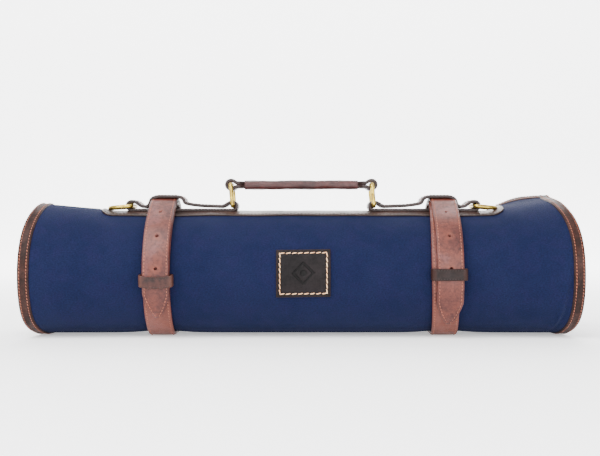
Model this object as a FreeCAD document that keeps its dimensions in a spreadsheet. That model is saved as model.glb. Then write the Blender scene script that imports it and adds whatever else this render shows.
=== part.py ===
"""Rolled brush case: canvas sheet bound in leather, two buckled straps, a carry handle on rings.

Frame: X along the roll, -Y the front, +Z up. The origin is on the ground below the middle.
A section angle is measured in the YZ plane from +Y (the back) through +Z (the top), in degrees,
so the front of the roll is at 180 and the ground at 270. Lengths are millimetres.
"""

import FreeCAD
import Part
import Sketcher
import math
import os

Vec = FreeCAD.Vector

# Driving dimensions: alias, value, meaning.
DIMENSIONS = [
    ("roll_length", 510.0, "length of the rolled case over its bound ends"),
    ("roll_radius", 58.5, "outside of the outer canvas where the straps hold it"),
    ("sag", 2.5, "how far the roll's own weight flattens its underside"),
    ("base_fillet", 30.0, "bend between the round side and the flat underside"),
    ("seam_angle", 54.0, "section angle of the sheet's outer edge"),
    ("turn_drop", 6.8, "step down from one turn to the next"),
    ("joggle_span", 42.0, "section angle over which the sheet steps down"),
    ("whole_turns", 2.0, "whole turns of the rolled sheet"),
    ("last_sweep", 182.0, "section angle of the part turn at the core"),
    ("canvas_thick", 1.6, "outer canvas"),
    ("padding_thick", 1.4, "felt between canvas and lining"),
    ("lining_thick", 1.0, "cotton lining"),
    ("pocket_thick", 1.4, "brush pocket layer"),
    ("flap_thick", 1.2, "flap over the brush heads"),
    ("pocket_depth", 253.5, "brush pockets from their foot to their mouth"),
    ("flap_depth", 148.5, "flap from its sewn edge to its free edge"),
    ("layer_inset", 0.5, "pockets and flap short of the end bindings"),
    ("pocket_start", 70.0, "run of sheet left bare before the first pocket"),
    ("pocket_end", 24.0, "run of sheet left bare after the last pocket"),
    ("binding_width", 11.0, "leather binding, edge to edge"),
    ("binding_thick", 1.0, "leather of the binding"),
    ("band_margin", 1.2, "reinforcement band beyond the dees"),
    ("band_width", 46.0, "reinforcement band round the roll"),
    ("band_thick", 1.8, "leather of the band"),
    ("band_corner", 9.0, "rounding of the band's corners"),
    ("fittings_shift", 2.2, "how far the straps and the handle sit to the right of the middle"),
    ("strap_spacing", 270.0, "between the middles of the two straps"),
    ("strap_width", 25.0, "closing strap"),
    ("strap_thick", 3.0, "closing strap, two skins sewn together"),
    ("strap_gap", 0.3, "air between stacked soft pieces"),
    ("crown_lift", 6.0, "how far the straps stand off the band at the top"),
    ("lift_span", 36.0, "section angle over which the straps leave the roll"),
    ("heel_angle", 52.0, "section angle of the buckle's heel bar"),
    ("heel_lift", 0.85, "the heel bar's middle beyond the strap's"),
    ("heel_rise", 8.0, "angle at which the strap climbs from its eye"),
    ("lap_start", 2.0, "section angle past the front bar where the strap climbs over the buckle"),
    ("buckle_reach", 19.0, "between the buckle's two bars"),
    ("left_tip", 217.0, "section angle of the left strap's point"),
    ("right_tip", 224.0, "section angle of the right strap's point"),
    ("tip_length", 22.0, "tapered end of the strap"),
    ("tip_nose", 1.6, "half-width of the strap's point"),
    ("hole_first", 174.5, "section angle of the lowest strap hole"),
    ("hole_pitch", 27.5, "section angle between strap holes"),
    ("hole_count", 5.0, "free strap holes"),
    ("hole_radius", 1.5, "strap hole"),
    ("buckle_wire", 1.6, "radius of the buckle's wire"),
    ("buckle_side", 1.0, "gap between the strap's edge and the buckle"),
    ("buckle_bend", 0.9, "inside bend of the buckle's corners"),
    ("eye_skin", 1.35, "skived leather round the heel bar"),
    ("eye_clear", 0.25, "clearance round the heel bar"),
    ("notch_clear", 0.15, "clearance round the prong's knuckle in the eye"),
    ("prong_radius", 1.25, "buckle prong"),
    ("prong_room", 0.5, "gap each side of the prong in the strap's slots"),
    ("prong_knuckle", 1.3, "brass of the prong round the heel bar"),
    ("prong_play", 0.08, "clearance between the prong and the heel bar"),
    ("prong_over", 4.0, "prong beyond the front bar"),
    ("prong_rest", 0.1, "clearance between the prong and the front bar"),
    ("slot_start", 4.5, "used hole's near end from the heel bar"),
    ("slot_length", 13.0, "used hole, drawn long by the prong"),
    ("left_keeper", 184.0, "section angle of the left keeper's middle"),
    ("right_keeper", 179.0, "section angle of the right keeper's middle"),
    ("keeper_width", 11.0, "keeper along the strap"),
    ("keeper_thick", 1.6, "leather of the keeper"),
    ("keeper_side", 2.6, "keeper beyond the strap's edges"),
    ("keeper_slack", 0.5, "gap between the strap's edge and the keeper"),
    ("keeper_back", 1.4, "leather of the keeper under the strap"),
    ("keeper_rise", 6.0, "from the canvas to the middle of the keeper's loop"),
    ("tab_width", 24.0, "anchor tab that holds the rings"),
    ("tab_thick", 1.8, "leather of the anchor tab"),
    ("tab_gap", 0.1, "air between the anchor tab's two layers"),
    ("tab_inner_tail", 6.0, "tab's lower layer short of the arch"),
    ("tab_join", 15.0, "from the ring's bar to where the tab's layers meet"),
    ("tab_outer_tail", 1.5, "tab's lower layer beyond the arch"),
    ("arch_side", 3.7, "from the strap's edge to the middle of the arch's leather"),
    ("arch_bend", 5.0, "bend at the shoulders of the arch"),
    ("arch_foot", 3.0, "bend at the inner foot of the arch, along the roll"),
    ("arch_foot_rise", 4.0, "bend at the inner foot of the arch, upwards"),
    ("arch_outer_foot", 2.2, "bend at the outer foot of the arch"),
    ("dee_gap", 15.1, "from the arch to the dee's bar"),
    ("dee_loop", 4.2, "bend of the tab round the dee's bar"),
    ("ring_span", 136.5, "between the handle rings' lower bars"),
    ("ring_wire", 2.0, "radius of the brass wire of rings and dees"),
    ("ring_height", 21.0, "handle ring between its bars' middles"),
    ("ring_side", 1.0, "gap between the tab's edge and a ring or dee"),
    ("ring_bend", 1.0, "inside bend of the corners of rings and dees"),
    ("ring_lean", 5.0, "how far the rings lean towards -X at rest"),
    ("ring_clear", 0.3, "clearance between a bar and its leather loop"),
    ("dee_reach", 22.5, "from the dee's bar to the middle of its bow"),
    ("grip_inset", 12.95, "sleeve's end short of the ring's bar"),
    ("grip_skin", 2.0, "leather of the sleeve"),
    ("grip_gap", 0.2, "air between the sleeve and the core"),
    ("grip_flat", 0.05, "half of the flat left on the sleeve's rounded sides"),
    ("tunnel_bend", 0.1, "bend of the corners inside the sleeve"),
    ("core_thick", 2.4, "handle core, each of its two layers"),
    ("core_gap", 0.05, "half of the air between the core's layers"),
    ("core_inset", 2.0, "core's loops narrower than the tab, each side"),
    ("core_waist", 11.4, "handle core inside the sleeve"),
    ("core_loop", 4.6, "bend of the core's end loops"),
    ("patch_width", 50.0, "maker's patch along X"),
    ("patch_height", 44.6, "maker's patch from top to bottom"),
    ("patch_thick", 1.6, "leather of the patch"),
    ("patch_angle", 178.0, "section angle of the patch's middle"),
    ("emblem_half", 8.6, "pressed lozenge, middle to corner"),
    ("emblem_line", 0.9, "width of the pressed line"),
    ("emblem_depth", 0.5, "depth of the pressed line"),
    ("emblem_bow", 0.3, "how much deeper the mark is cut, because the patch is bent"),
    ("tool_run", 1.0, "how far a cutting tool runs past what it cuts"),
]

# Shares of the strap's half-width and of its taper where the tapered edge bulges.
TIP_BULGE = (0.66, 0.56)
# Share of the crown's lift that the strap still has at the holes beside the crown.
HOLE_LIFT = 0.9
# Width of the lozenge's line and of its dot, in pressed lines.
LOZENGE_LINE = 1.4
DOT_LINE = 2.2

doc = FreeCAD.newDocument("brush_roll_case")
sheet = doc.addObject("Spreadsheet::Sheet", "sizes")
for row, (alias, value, meaning) in enumerate(DIMENSIONS, start=1):
    sheet.set(f"A{row}", alias)
    sheet.set(f"B{row}", str(value))
    sheet.set(f"C{row}", meaning)
    sheet.setAlias(f"B{row}", alias)
doc.recompute()


def size(alias):
    """A driving dimension, read back from the sheet."""
    return float(sheet.get(alias))


def polar(radius, angle):
    """A point of the section, (y, z), at a radius and angle about the roll's axis."""
    turn = math.radians(angle)
    return (AXIS_SETBACK + radius * math.cos(turn), AXIS_HEIGHT + radius * math.sin(turn))


# Sizes that follow from the driving ones.
PANEL_THICK = size("canvas_thick") + size("padding_thick") + size("lining_thick")
FLAT_DEPTH = size("roll_radius") - size("sag")
STRAP_INNER = size("roll_radius") + size("band_thick") + size("strap_gap")
STRAP_MIDDLE = STRAP_INNER + size("strap_thick") / 2
STRAP_STEP = size("strap_thick") + size("strap_gap")
KEEPER_INNER = STRAP_INNER + 2 * STRAP_STEP
KEEPER_OUTER = KEEPER_INNER + size("keeper_thick")
AXIS_SETBACK = (KEEPER_OUTER - STRAP_INNER - size("strap_thick")) / 2
AXIS_HEIGHT = FLAT_DEPTH + size("strap_gap") + size("strap_thick")
BAND_TOP = AXIS_HEIGHT + size("roll_radius") + size("band_thick")
SHIFT = size("fittings_shift")
STRAP_REACH = size("strap_spacing") / 2
RING_REACH = size("ring_span") / 2
ARCH_HALF = size("strap_width") / 2 + size("arch_side")
DEE_REACH = STRAP_REACH + ARCH_HALF + size("dee_gap")
BAND_HALF = DEE_REACH + size("dee_reach") + size("ring_wire") + size("band_margin")
RING_WIDTH = size("tab_width") + 2 * size("ring_side") + 2 * size("ring_wire")
RING_CORNER = size("ring_wire") + size("ring_bend")
BUCKLE_WIDTH = size("strap_width") + 2 * size("buckle_side") + 2 * size("buckle_wire")
BUCKLE_CORNER = size("buckle_wire") + size("buckle_bend")
PRONG_WIDTH = 2 * size("prong_radius") + 2 * size("prong_room")
GRIP_HALF = RING_REACH - size("grip_inset")
GRIP_HEIGHT = 2 * (size("core_thick") + size("grip_skin") + size("grip_gap"))
GRIP_DEPTH = size("core_waist") + 2 * (size("grip_skin") + size("grip_gap"))
CORE_HALF = size("tab_width") / 2 - size("core_inset")


class Path:
    """A run of lines and arcs in a plane, each tangent to the last. Turning left is positive."""

    def __init__(self, point, heading):
        self.point = point
        self.heading = math.radians(heading)
        self.runs = []

    def line(self, length):
        """Goes straight on."""
        x, y = self.point
        end = (x + length * math.cos(self.heading), y + length * math.sin(self.heading))
        self.runs.append(("line", self.point, end))
        self.point = end
        return self

    def arc(self, radius, degrees):
        """Turns left by degrees, or right if they are negative."""
        sweep = math.radians(degrees)
        side = math.copysign(math.pi / 2, sweep)
        x, y = self.point
        centre = (x + radius * math.cos(self.heading + side), y + radius * math.sin(self.heading + side))
        self.runs.append(("arc", centre, radius, self.heading - side, sweep))
        self.heading += sweep
        first = self.heading - side
        self.point = (centre[0] + radius * math.cos(first), centre[1] + radius * math.sin(first))
        return self

    def reach(self, point, heading):
        """Goes to a point and heading by two tangent arcs that share their pull evenly."""
        end_heading = math.radians(heading)
        t1 = (math.cos(self.heading), math.sin(self.heading))
        t2 = (math.cos(end_heading), math.sin(end_heading))
        v = (point[0] - self.point[0], point[1] - self.point[1])
        t = (t1[0] + t2[0], t1[1] + t2[1])
        vt = v[0] * t[0] + v[1] * t[1]
        flat = 2 * (1 - t1[0] * t2[0] - t1[1] * t2[1])
        square = v[0] ** 2 + v[1] ** 2
        pull = square / (2 * vt) if flat < 1e-9 else (-vt + math.sqrt(vt * vt + flat * square)) / flat
        joint = tuple((self.point[k] + point[k] + pull * (t1[k] - t2[k])) / 2 for k in (0, 1))
        self._bend(joint)
        self._bend(point)
        return self

    def _bend(self, point):
        """One arc, tangent to the heading, that ends at a point."""
        dx, dy = point[0] - self.point[0], point[1] - self.point[1]
        chord = math.hypot(dx, dy)
        half = math.remainder(math.atan2(dy, dx) - self.heading, 2 * math.pi)
        if abs(half) < 1e-6:
            return self.line(chord)
        return self.arc(chord / (2 * abs(math.sin(half))), math.degrees(2 * half))

    def length(self):
        """The length along the run."""
        return sum(run_length(run) for run in self.runs)

    def part(self, start, end):
        """The stretch between two distances along the run."""
        taken = Path(self.point, 0)
        taken.runs = []
        done = 0.0
        for run in self.runs:
            whole = run_length(run)
            low, high = max(start - done, 0.0), min(end - done, whole)
            done += whole
            if high - low > 1e-6:
                taken.runs.append(run_part(run, low / whole, high / whole))
        return taken

    def edges(self, side):
        """The run moved to its left by side, as curves."""
        return [run_curve(run, side) for run in self.runs]

    def outline(self, left, right):
        """A closed outline from the run moved left to the run moved right."""
        ends = []
        for place, share in ((0, 0.0), (-1, 1.0)):
            ends.append([run_point(self.runs[place], share, side) for side in (left, right)])
        caps = [Part.LineSegment(Vec(*a, 0), Vec(*b, 0)) for a, b in ends]
        return self.edges(left) + [caps[1]] + self.edges(right) + [caps[0]]


def run_length(run):
    """The length of one line or arc."""
    if run[0] == "line":
        return math.dist(run[1], run[2])
    return run[2] * abs(run[4])


def run_part(run, low, high):
    """The stretch of one line or arc between two shares of it."""
    if run[0] == "line":
        ends = [tuple(run[1][k] + share * (run[2][k] - run[1][k]) for k in (0, 1)) for share in (low, high)]
        return ("line", ends[0], ends[1])
    return ("arc", run[1], run[2], run[3] + low * run[4], (high - low) * run[4])


def run_point(run, share, side):
    """A point at a share of a line or arc, moved to its left by side."""
    if run[0] == "line":
        (x0, y0), (x1, y1) = run[1], run[2]
        reach = math.dist(run[1], run[2])
        x, y = x0 + share * (x1 - x0), y0 + share * (y1 - y0)
        return (x - side * (y1 - y0) / reach, y + side * (x1 - x0) / reach)
    radius = run[2] - math.copysign(side, side * run[4])
    angle = run[3] + share * run[4]
    return (run[1][0] + radius * math.cos(angle), run[1][1] + radius * math.sin(angle))


def run_curve(run, side):
    """A line or arc moved to its left by side, as a curve for a sketch."""
    if run[0] == "line":
        return Part.LineSegment(Vec(*run_point(run, 0, side), 0), Vec(*run_point(run, 1, side), 0))
    radius = run[2] - math.copysign(side, side * run[4])
    low, high = sorted((run[3], run[3] + run[4]))
    return Part.ArcOfCircle(Part.Circle(Vec(*run[1], 0), Vec(0, 0, 1), radius), low, high)


SECTION = FreeCAD.Rotation(Vec(0, 1, 0), Vec(0, 0, 1), Vec(1, 0, 0))
PROFILE = FreeCAD.Rotation(Vec(1, 0, 0), Vec(0, 0, 1), Vec(0, -1, 0))


def sketch_of(name, curves, rotation, base=Vec(0, 0, 0)):
    """A sketch in a turned plane that holds the curves."""
    sketch = doc.addObject("Sketcher::SketchObject", name + "_sketch")
    sketch.Placement = FreeCAD.Placement(base, rotation)
    sketch.addGeometry(curves, False)
    return sketch


def extrusion(name, curves, rotation, forward, backward, base=Vec(0, 0, 0)):
    """A solid made by pushing closed curves both ways along their plane's normal.

    forward and backward are expressions on the sheet.
    """
    made = doc.addObject("Part::Extrusion", name)
    made.Base = sketch_of(name, curves, rotation, base)
    made.DirMode = "Normal"
    made.Solid = True
    made.setExpression("LengthFwd", forward)
    made.setExpression("LengthRev", backward)
    return made


def cut(name, base, tools):
    """base less the tools."""
    made = doc.addObject("Part::Cut", name)
    made.Base = base
    made.Tool = fuse(name + "_tools", tools)
    return made


def fuse(name, shapes):
    """Shapes joined into one, or the only one."""
    if len(shapes) == 1:
        return shapes[0]
    made = doc.addObject("Part::MultiFuse", name)
    made.Shapes = shapes
    return made


def cylinder(name, radius, height, base, direction):
    """A cylinder from base along direction. radius and height are expressions on the sheet."""
    made = doc.addObject("Part::Cylinder", name)
    made.setExpression("Radius", radius)
    made.setExpression("Height", height)
    made.Placement = FreeCAD.Placement(base, FreeCAD.Rotation(Vec(0, 0, 1), direction))
    return made


def box(name, sizes, centre, rotation):
    """A box about its centre. sizes are three expressions on the sheet."""
    made = doc.addObject("Part::Box", name)
    for side, expression in zip(("Length", "Width", "Height"), sizes):
        made.setExpression(side, expression)
    doc.recompute()
    half = Vec(made.Length.Value, made.Width.Value, made.Height.Value) * 0.5
    made.Placement = FreeCAD.Placement(centre - rotation.multVec(half), rotation)
    return made


def wire_ring(name, spine_curves, rotation, base, radius):
    """A closed ring of round wire along spine curves that lie in a turned plane."""
    spine = sketch_of(name + "_spine", spine_curves, rotation, base)
    first = spine_curves[0]
    start = spine.Placement.multVec(first.StartPoint)
    along = rotation.multVec(first.EndPoint - first.StartPoint)
    section = doc.addObject("Sketcher::SketchObject", name + "_wire")
    section.Placement = FreeCAD.Placement(start, FreeCAD.Rotation(Vec(0, 0, 1), along))
    section.addGeometry([Part.Circle(Vec(0, 0, 0), Vec(0, 0, 1), size(radius))], False)
    section.addConstraint(Sketcher.Constraint("Coincident", 0, 3, -1, 1))
    bound = section.addConstraint(Sketcher.Constraint("Radius", 0, size(radius)))
    section.setExpression(f"Constraints[{bound}]", "sizes." + radius)
    made = doc.addObject("Part::Sweep", name)
    made.Sections = [section]
    made.Spine = (spine, [f"Edge{k + 1}" for k in range(len(spine_curves))])
    made.Solid = True
    return made


def label(piece, name):
    """Names a piece. Its label names its file."""
    piece.Label = name
    PIECES.append(piece)
    return piece


PIECES = []


def flat_turn(path, radius, depth, start, end):
    """Follows a circle about the roll's axis between two section angles, with a flat underside."""
    bend = size("base_fillet")
    half = math.sqrt((radius - bend) ** 2 - (depth - bend) ** 2)
    ease = math.degrees(math.atan2(half, depth - bend))
    path.arc(radius, 270 - ease - start).arc(bend, ease).line(2 * half)
    return path.arc(bend, ease).arc(radius, end - 270 - ease)


def panel_path():
    """The outside of the sheet from its outer edge to its inner end."""
    seam = size("seam_angle")
    radius = size("roll_radius")
    depth = FLAT_DEPTH
    drop = size("turn_drop")
    path = Path(polar(radius, seam), seam + 90)
    for _ in range(int(size("whole_turns"))):
        flat_turn(path, radius, depth, seam, seam + 360 - size("joggle_span"))
        radius -= drop
        depth -= drop
        path.reach(polar(radius, seam), seam + 90)
    return path.arc(radius, size("last_sweep"))


PANEL = panel_path()


def build_sheet():
    """The layers of the rolled sheet, its pockets and its flap."""
    depth = 0.0
    half = "sizes.roll_length / 2 - sizes.binding_thick"
    for name, thick in (
        ("outer_canvas", "canvas_thick"),
        ("padding_felt", "padding_thick"),
        ("cotton_lining", "lining_thick"),
    ):
        label(extrusion(name, PANEL.outline(depth, depth + size(thick)), SECTION, half, half), name)
        depth += size(thick)
    run = PANEL.part(size("pocket_start"), PANEL.length() - size("pocket_end"))
    edge = "sizes.roll_length / 2 - sizes.binding_width - sizes.layer_inset"
    for name, thick, low, high in (
        ("brush_pockets", "pocket_thick", edge, f"sizes.pocket_depth - ({edge})"),
        ("brush_flap", "flap_thick", f"sizes.flap_depth - ({edge})", edge),
    ):
        curves = run.outline(depth, depth + size(thick))
        label(extrusion(name, curves, SECTION, high, low), name)


def build_bindings():
    """Leather folded over the two ends of the roll and the sheet's outer and inner edges."""
    skin = size("binding_thick")
    sheet_section = PANEL.outline(0, PANEL_THICK)
    whole = PANEL.outline(-skin, PANEL_THICK + skin)
    for name, sign in (("end_binding_left", -1), ("end_binding_right", 1)):
        outer = size("roll_length") / 2
        base = Vec(sign * outer, 0, 0)
        inward = ("0", "sizes.binding_width") if sign > 0 else ("sizes.binding_width", "0")
        channel = extrusion(name + "_channel", whole, SECTION, *inward, base=base)
        reach = ("-sizes.binding_thick", "sizes.binding_width + sizes.tool_run")
        reach = reach if sign > 0 else reach[::-1]
        slot = extrusion(name + "_slot", sheet_section, SECTION, *reach, base=base)
        label(cut(name, channel, [slot]), name)
    total = PANEL.length()
    width = size("binding_width")
    half = "sizes.roll_length / 2 - sizes.binding_width"
    for name, run, cap in (
        ("edge_binding_outer", PANEL.part(0, width), 0),
        ("edge_binding_inner", PANEL.part(total - width, total), -1),
    ):
        capped = extended(run, skin, cap)
        channel = extrusion(name + "_channel", capped.outline(-skin, PANEL_THICK + skin), SECTION, half, half)
        slot = extrusion(name + "_slot", sheet_section, SECTION, "sizes.roll_length", "sizes.roll_length")
        label(cut(name, channel, [slot]), name)


def extended(run, length, end):
    """The run with a straight tangent piece added before its start or after its end."""
    grown = Path(run.point, 0)
    share = 0.0 if end == 0 else 1.0
    near = run_point(run.runs[end], share, 0)
    side = run_point(run.runs[end], share, 1)
    along = (side[1] - near[1], near[0] - side[0])
    sign = -1 if end == 0 else 1
    far = tuple(near[k] + sign * length * along[k] for k in (0, 1))
    extra = ("line", far, near) if end == 0 else ("line", near, far)
    grown.runs = [extra] + run.runs if end == 0 else run.runs + [extra]
    return grown


def build_band():
    """The reinforcement band on the top of the roll, with rounded corners."""
    radius = size("roll_radius")
    half = math.degrees(size("band_width") / 2 / (radius + size("band_thick")))
    path = Path(polar(radius, 90 - half), 180 - half).arc(radius, 2 * half)
    reach = "(sizes.strap_spacing + sizes.strap_width) / 2 + sizes.arch_side + sizes.dee_gap"
    reach += " + sizes.dee_reach + sizes.ring_wire + sizes.band_margin"
    curves = path.outline(-size("band_thick"), 0)
    blank = extrusion("band_blank", curves, SECTION, reach, reach, Vec(SHIFT, 0, 0))
    doc.recompute()
    corners = []
    for number, edge in enumerate(blank.Shape.Edges, start=1):
        ends = [v.Point for v in edge.Vertexes]
        at_end = all(abs(abs(p.x - SHIFT) - BAND_HALF) < 1e-6 for p in ends)
        if at_end and abs(edge.Length - size("band_thick")) < 1e-6:
            corners.append((number, size("band_corner"), size("band_corner")))
    made = doc.addObject("Part::Fillet", "top_band")
    made.Base = blank
    made.Edges = corners
    label(made, "top_band")


def front_bar_angle():
    """The section angle of the buckle's front bar, which lies on the strap."""
    square = HEEL_RADIUS**2 + FRONT_RADIUS**2 - size("buckle_reach") ** 2
    return size("heel_angle") - math.degrees(math.acos(square / (2 * HEEL_RADIUS * FRONT_RADIUS)))


HEEL_RADIUS = STRAP_MIDDLE + size("heel_lift")
FRONT_RADIUS = STRAP_MIDDLE + size("strap_thick") / 2 + size("strap_gap") + size("buckle_wire")
FRONT_ANGLE = front_bar_angle()
HEEL = polar(HEEL_RADIUS, size("heel_angle"))
FRONT = polar(FRONT_RADIUS, FRONT_ANGLE)
EYE_OUTER = size("buckle_wire") + size("eye_clear") + size("eye_skin")


def strap_path(tip_angle):
    """The middle of a closing strap, from its eye round the roll and over itself to its point."""
    heel = size("heel_angle")
    middle = STRAP_MIDDLE
    lift = size("crown_lift")
    span = size("lift_span")
    rise = heel + 90 + size("heel_rise")
    path = Path(HEEL, rise)
    path.reach(polar(middle + lift, 90), 180)
    path.reach(polar(middle, 90 + span), 180 + span)
    flat_turn(path, middle, FLAT_DEPTH + size("strap_gap") + size("strap_thick") / 2,
              90 + span, 360 + size("lap_start") + FRONT_ANGLE)
    eye_top = HEEL_RADIUS + EYE_OUTER + size("strap_gap")
    path.reach(polar(eye_top + size("strap_thick") / 2, heel), rise)
    outer = middle + STRAP_STEP
    path.reach(polar(outer + lift, 90), 180)
    path.reach(polar(outer, 90 + span), 180 + span)
    path.arc(outer, tip_angle - 90 - span)
    return path


def radial(angle):
    """The direction away from the roll's axis at a section angle."""
    turn = math.radians(angle)
    return Vec(0, math.cos(turn), math.sin(turn))


def at(x, point):
    """A section point at a distance along the roll."""
    return Vec(x, point[0], point[1])


def prong_direction():
    """From the heel bar's middle to the prong's tip, clear over the front bar."""
    dy, dz = FRONT[0] - HEEL[0], FRONT[1] - HEEL[1]
    lift = size("buckle_wire") + size("prong_radius") + size("prong_rest")
    turn = math.atan2(dz, dy) + math.asin(lift / math.hypot(dy, dz))
    return Vec(0, math.cos(turn), math.sin(turn))


def build_strap(side, x, tip_angle):
    """A closing strap with its eye, its holes and its tapered point."""
    name = "strap_" + side
    half = "sizes.strap_width / 2"
    thick = size("strap_thick")
    path = strap_path(tip_angle)
    body = extrusion(name + "_body", path.outline(-thick / 2, thick / 2), SECTION, half, half, Vec(x, 0, 0))
    eye = cylinder(name + "_eye", "sizes.buckle_wire + sizes.eye_clear + sizes.eye_skin", "sizes.strap_width",
                   at(x - size("strap_width") / 2, HEEL), Vec(1, 0, 0))
    bore = cylinder(name + "_bore", "sizes.buckle_wire + sizes.eye_clear",
                    "sizes.strap_width + 2 * sizes.tool_run",
                    at(x - size("strap_width") / 2 - size("tool_run"), HEEL), Vec(1, 0, 0))
    notch_reach = "sizes.buckle_wire + sizes.eye_clear + sizes.eye_skin + sizes.notch_clear"
    notch = cylinder(name + "_notch", notch_reach, "2 * sizes.prong_radius + 4 * sizes.prong_room",
                     at(x - PRONG_WIDTH / 2 - size("prong_room"), HEEL), Vec(1, 0, 0))
    tools = [bore, notch, prong_slot(name, x), tip_waste(name, x, tip_angle)]
    start = STRAP_MIDDLE + STRAP_STEP - thick / 2 - size("strap_gap") / 2
    for k in range(int(size("hole_count"))):
        angle = size("hole_first") - k * size("hole_pitch")
        lift = size("crown_lift") if abs(angle - 90) < size("lift_span") / 2 else 0.0
        tools.append(cylinder(f"{name}_hole_{k}", "sizes.hole_radius", "sizes.strap_thick * 3",
                              at(x, polar(start + lift * HOLE_LIFT, angle)), radial(angle)))
    label(cut(name, fuse(name + "_blank", [body, eye]), tools), name)


def prong_slot(name, x):
    """The used hole, drawn long by its prong."""
    along = prong_direction()
    middle = at(x, HEEL) + along * (size("slot_start") + size("slot_length") / 2)
    rotation = FreeCAD.Rotation(Vec(1, 0, 0), along, Vec(1, 0, 0).cross(along))
    width = "2 * (sizes.prong_radius + sizes.prong_room)"
    return box(name + "_used_hole", (width, "sizes.slot_length", "4 * sizes.strap_thick"), middle, rotation)


def tip_waste(name, x, tip_angle):
    """What is trimmed away to leave a pointed strap end."""
    radius = STRAP_MIDDLE + STRAP_STEP
    taper = size("tip_length")
    half = size("strap_width") / 2
    middle = tip_angle - math.degrees(taper / 2 / radius)
    outward = radial(middle)
    down = Vec(1, 0, 0).cross(outward) * -1
    if down.z > 0:
        down = down * -1
    low = -taper / 2
    nose = size("tip_nose")
    over = size("tool_run")
    end = taper / 2 + 3 * over
    curves = []
    for sign in (-1, 1):
        shoulder = Vec(sign * (half + over), low - over, 0)
        edge = Vec(sign * half, low, 0)
        bulge = Vec(sign * half * TIP_BULGE[0], low + taper * TIP_BULGE[1], 0)
        point = Vec(sign * nose, taper / 2, 0)
        outer = Vec(sign * (half + over), end, 0)
        foot = Vec(sign * nose, end, 0)
        curves.append([Part.LineSegment(shoulder, edge), Part.Arc(edge, bulge, point),
                       Part.LineSegment(point, foot), Part.LineSegment(foot, outer),
                       Part.LineSegment(outer, shoulder)])
    rotation = FreeCAD.Rotation(Vec(1, 0, 0), down, Vec(1, 0, 0).cross(down))
    base = at(x, polar(radius, middle))
    sides = []
    for which, outline in zip(("a", "b"), curves):
        sides.append(extrusion(f"{name}_waste_{which}", outline, rotation,
                               "sizes.strap_thick * 2", "sizes.strap_thick / 2 + sizes.strap_gap / 2", base))
        if rotation.multVec(Vec(0, 0, 1)).dot(outward) < 0:
            sides[-1].setExpression("LengthRev", "sizes.strap_thick * 2")
            sides[-1].setExpression("LengthFwd", "sizes.strap_thick / 2 + sizes.strap_gap / 2")
    return fuse(name + "_waste", sides)


def rounded_rectangle(width, height, corner):
    """Spine curves of a rounded rectangle about the origin, starting with a straight side."""
    w, h = width / 2, height / 2
    path = Path((-w + corner, -h), 0)
    for run in (width, height, width, height):
        path.line(run - 2 * corner).arc(corner, 90)
    return path.edges(0)


def build_buckle(side, x):
    """A wire buckle frame and its prong."""
    dy, dz = FRONT[0] - HEEL[0], FRONT[1] - HEEL[1]
    along = Vec(0, dy, dz)
    reach = along.Length
    along.normalize()
    rotation = FreeCAD.Rotation(Vec(1, 0, 0), along, Vec(1, 0, 0).cross(along))
    middle = (at(x, HEEL) + at(x, FRONT)) * 0.5
    spine = rounded_rectangle(BUCKLE_WIDTH, reach, BUCKLE_CORNER)
    label(wire_ring("buckle_frame_" + side, spine, rotation, middle, "buckle_wire"), "buckle_frame_" + side)
    name = "buckle_prong_" + side
    heel = at(x, HEEL)
    direction = prong_direction()
    reach = "sizes.buckle_reach + sizes.prong_over"
    rod = cylinder(name + "_rod", "sizes.prong_radius", reach, heel, direction)
    knob = doc.addObject("Part::Sphere", name + "_end")
    knob.setExpression("Radius", "sizes.prong_radius")
    knob.Placement.Base = heel + direction * (size("buckle_reach") + size("prong_over"))
    width = "2 * (sizes.prong_radius + sizes.prong_room)"
    side = Vec(PRONG_WIDTH / 2, 0, 0)
    knuckle = "sizes.buckle_wire + sizes.prong_knuckle"
    ring = cylinder(name + "_ring", knuckle, width, heel - side, Vec(1, 0, 0))
    bore = cylinder(name + "_bore", "sizes.buckle_wire + sizes.prong_play", width, heel - side, Vec(1, 0, 0))
    label(cut(name, fuse(name + "_blank", [rod, knob, ring]), [bore]), name)


def build_keeper(side, x, angle):
    """A leather loop that slides along the doubled strap in front."""
    name = "keeper_" + side
    body = doc.addObject("PartDesign::Body", name)
    plane = next(f for f in body.Origin.OriginFeatures if f.Role == "XY_Plane")
    sketch = body.newObject("Sketcher::SketchObject", name + "_section")
    sketch.AttachmentSupport = [(plane, "")]
    sketch.MapMode = "FlatFace"
    inner = STRAP_INNER - size("strap_gap")
    edge = size("strap_width") / 2
    loops = (
        (edge + size("keeper_side"), inner - size("keeper_back"), KEEPER_OUTER),
        (edge + size("keeper_slack"), inner, KEEPER_INNER),
    )
    for half, low, high in loops:
        corners = [Vec(-half, -low, 0), Vec(half, -low, 0), Vec(half, -high, 0), Vec(-half, -high, 0)]
        sketch.addGeometry([Part.LineSegment(corners[k], corners[(k + 1) % 4]) for k in range(4)], False)
    doc.recompute()
    turned = body.newObject("PartDesign::Revolution", name + "_loop")
    turned.Profile = sketch
    turned.ReferenceAxis = (sketch, ["H_Axis"])
    turned.Midplane = True
    around = "2 * pi * (sizes.roll_radius + sizes.keeper_rise)"
    turned.setExpression("Angle", f"360 * sizes.keeper_width / ({around})")
    turn = FreeCAD.Rotation(Vec(1, 0, 0), angle - 180)
    body.Placement = FreeCAD.Placement(Vec(x, AXIS_SETBACK, AXIS_HEIGHT), turn)
    label(body, name)


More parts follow.
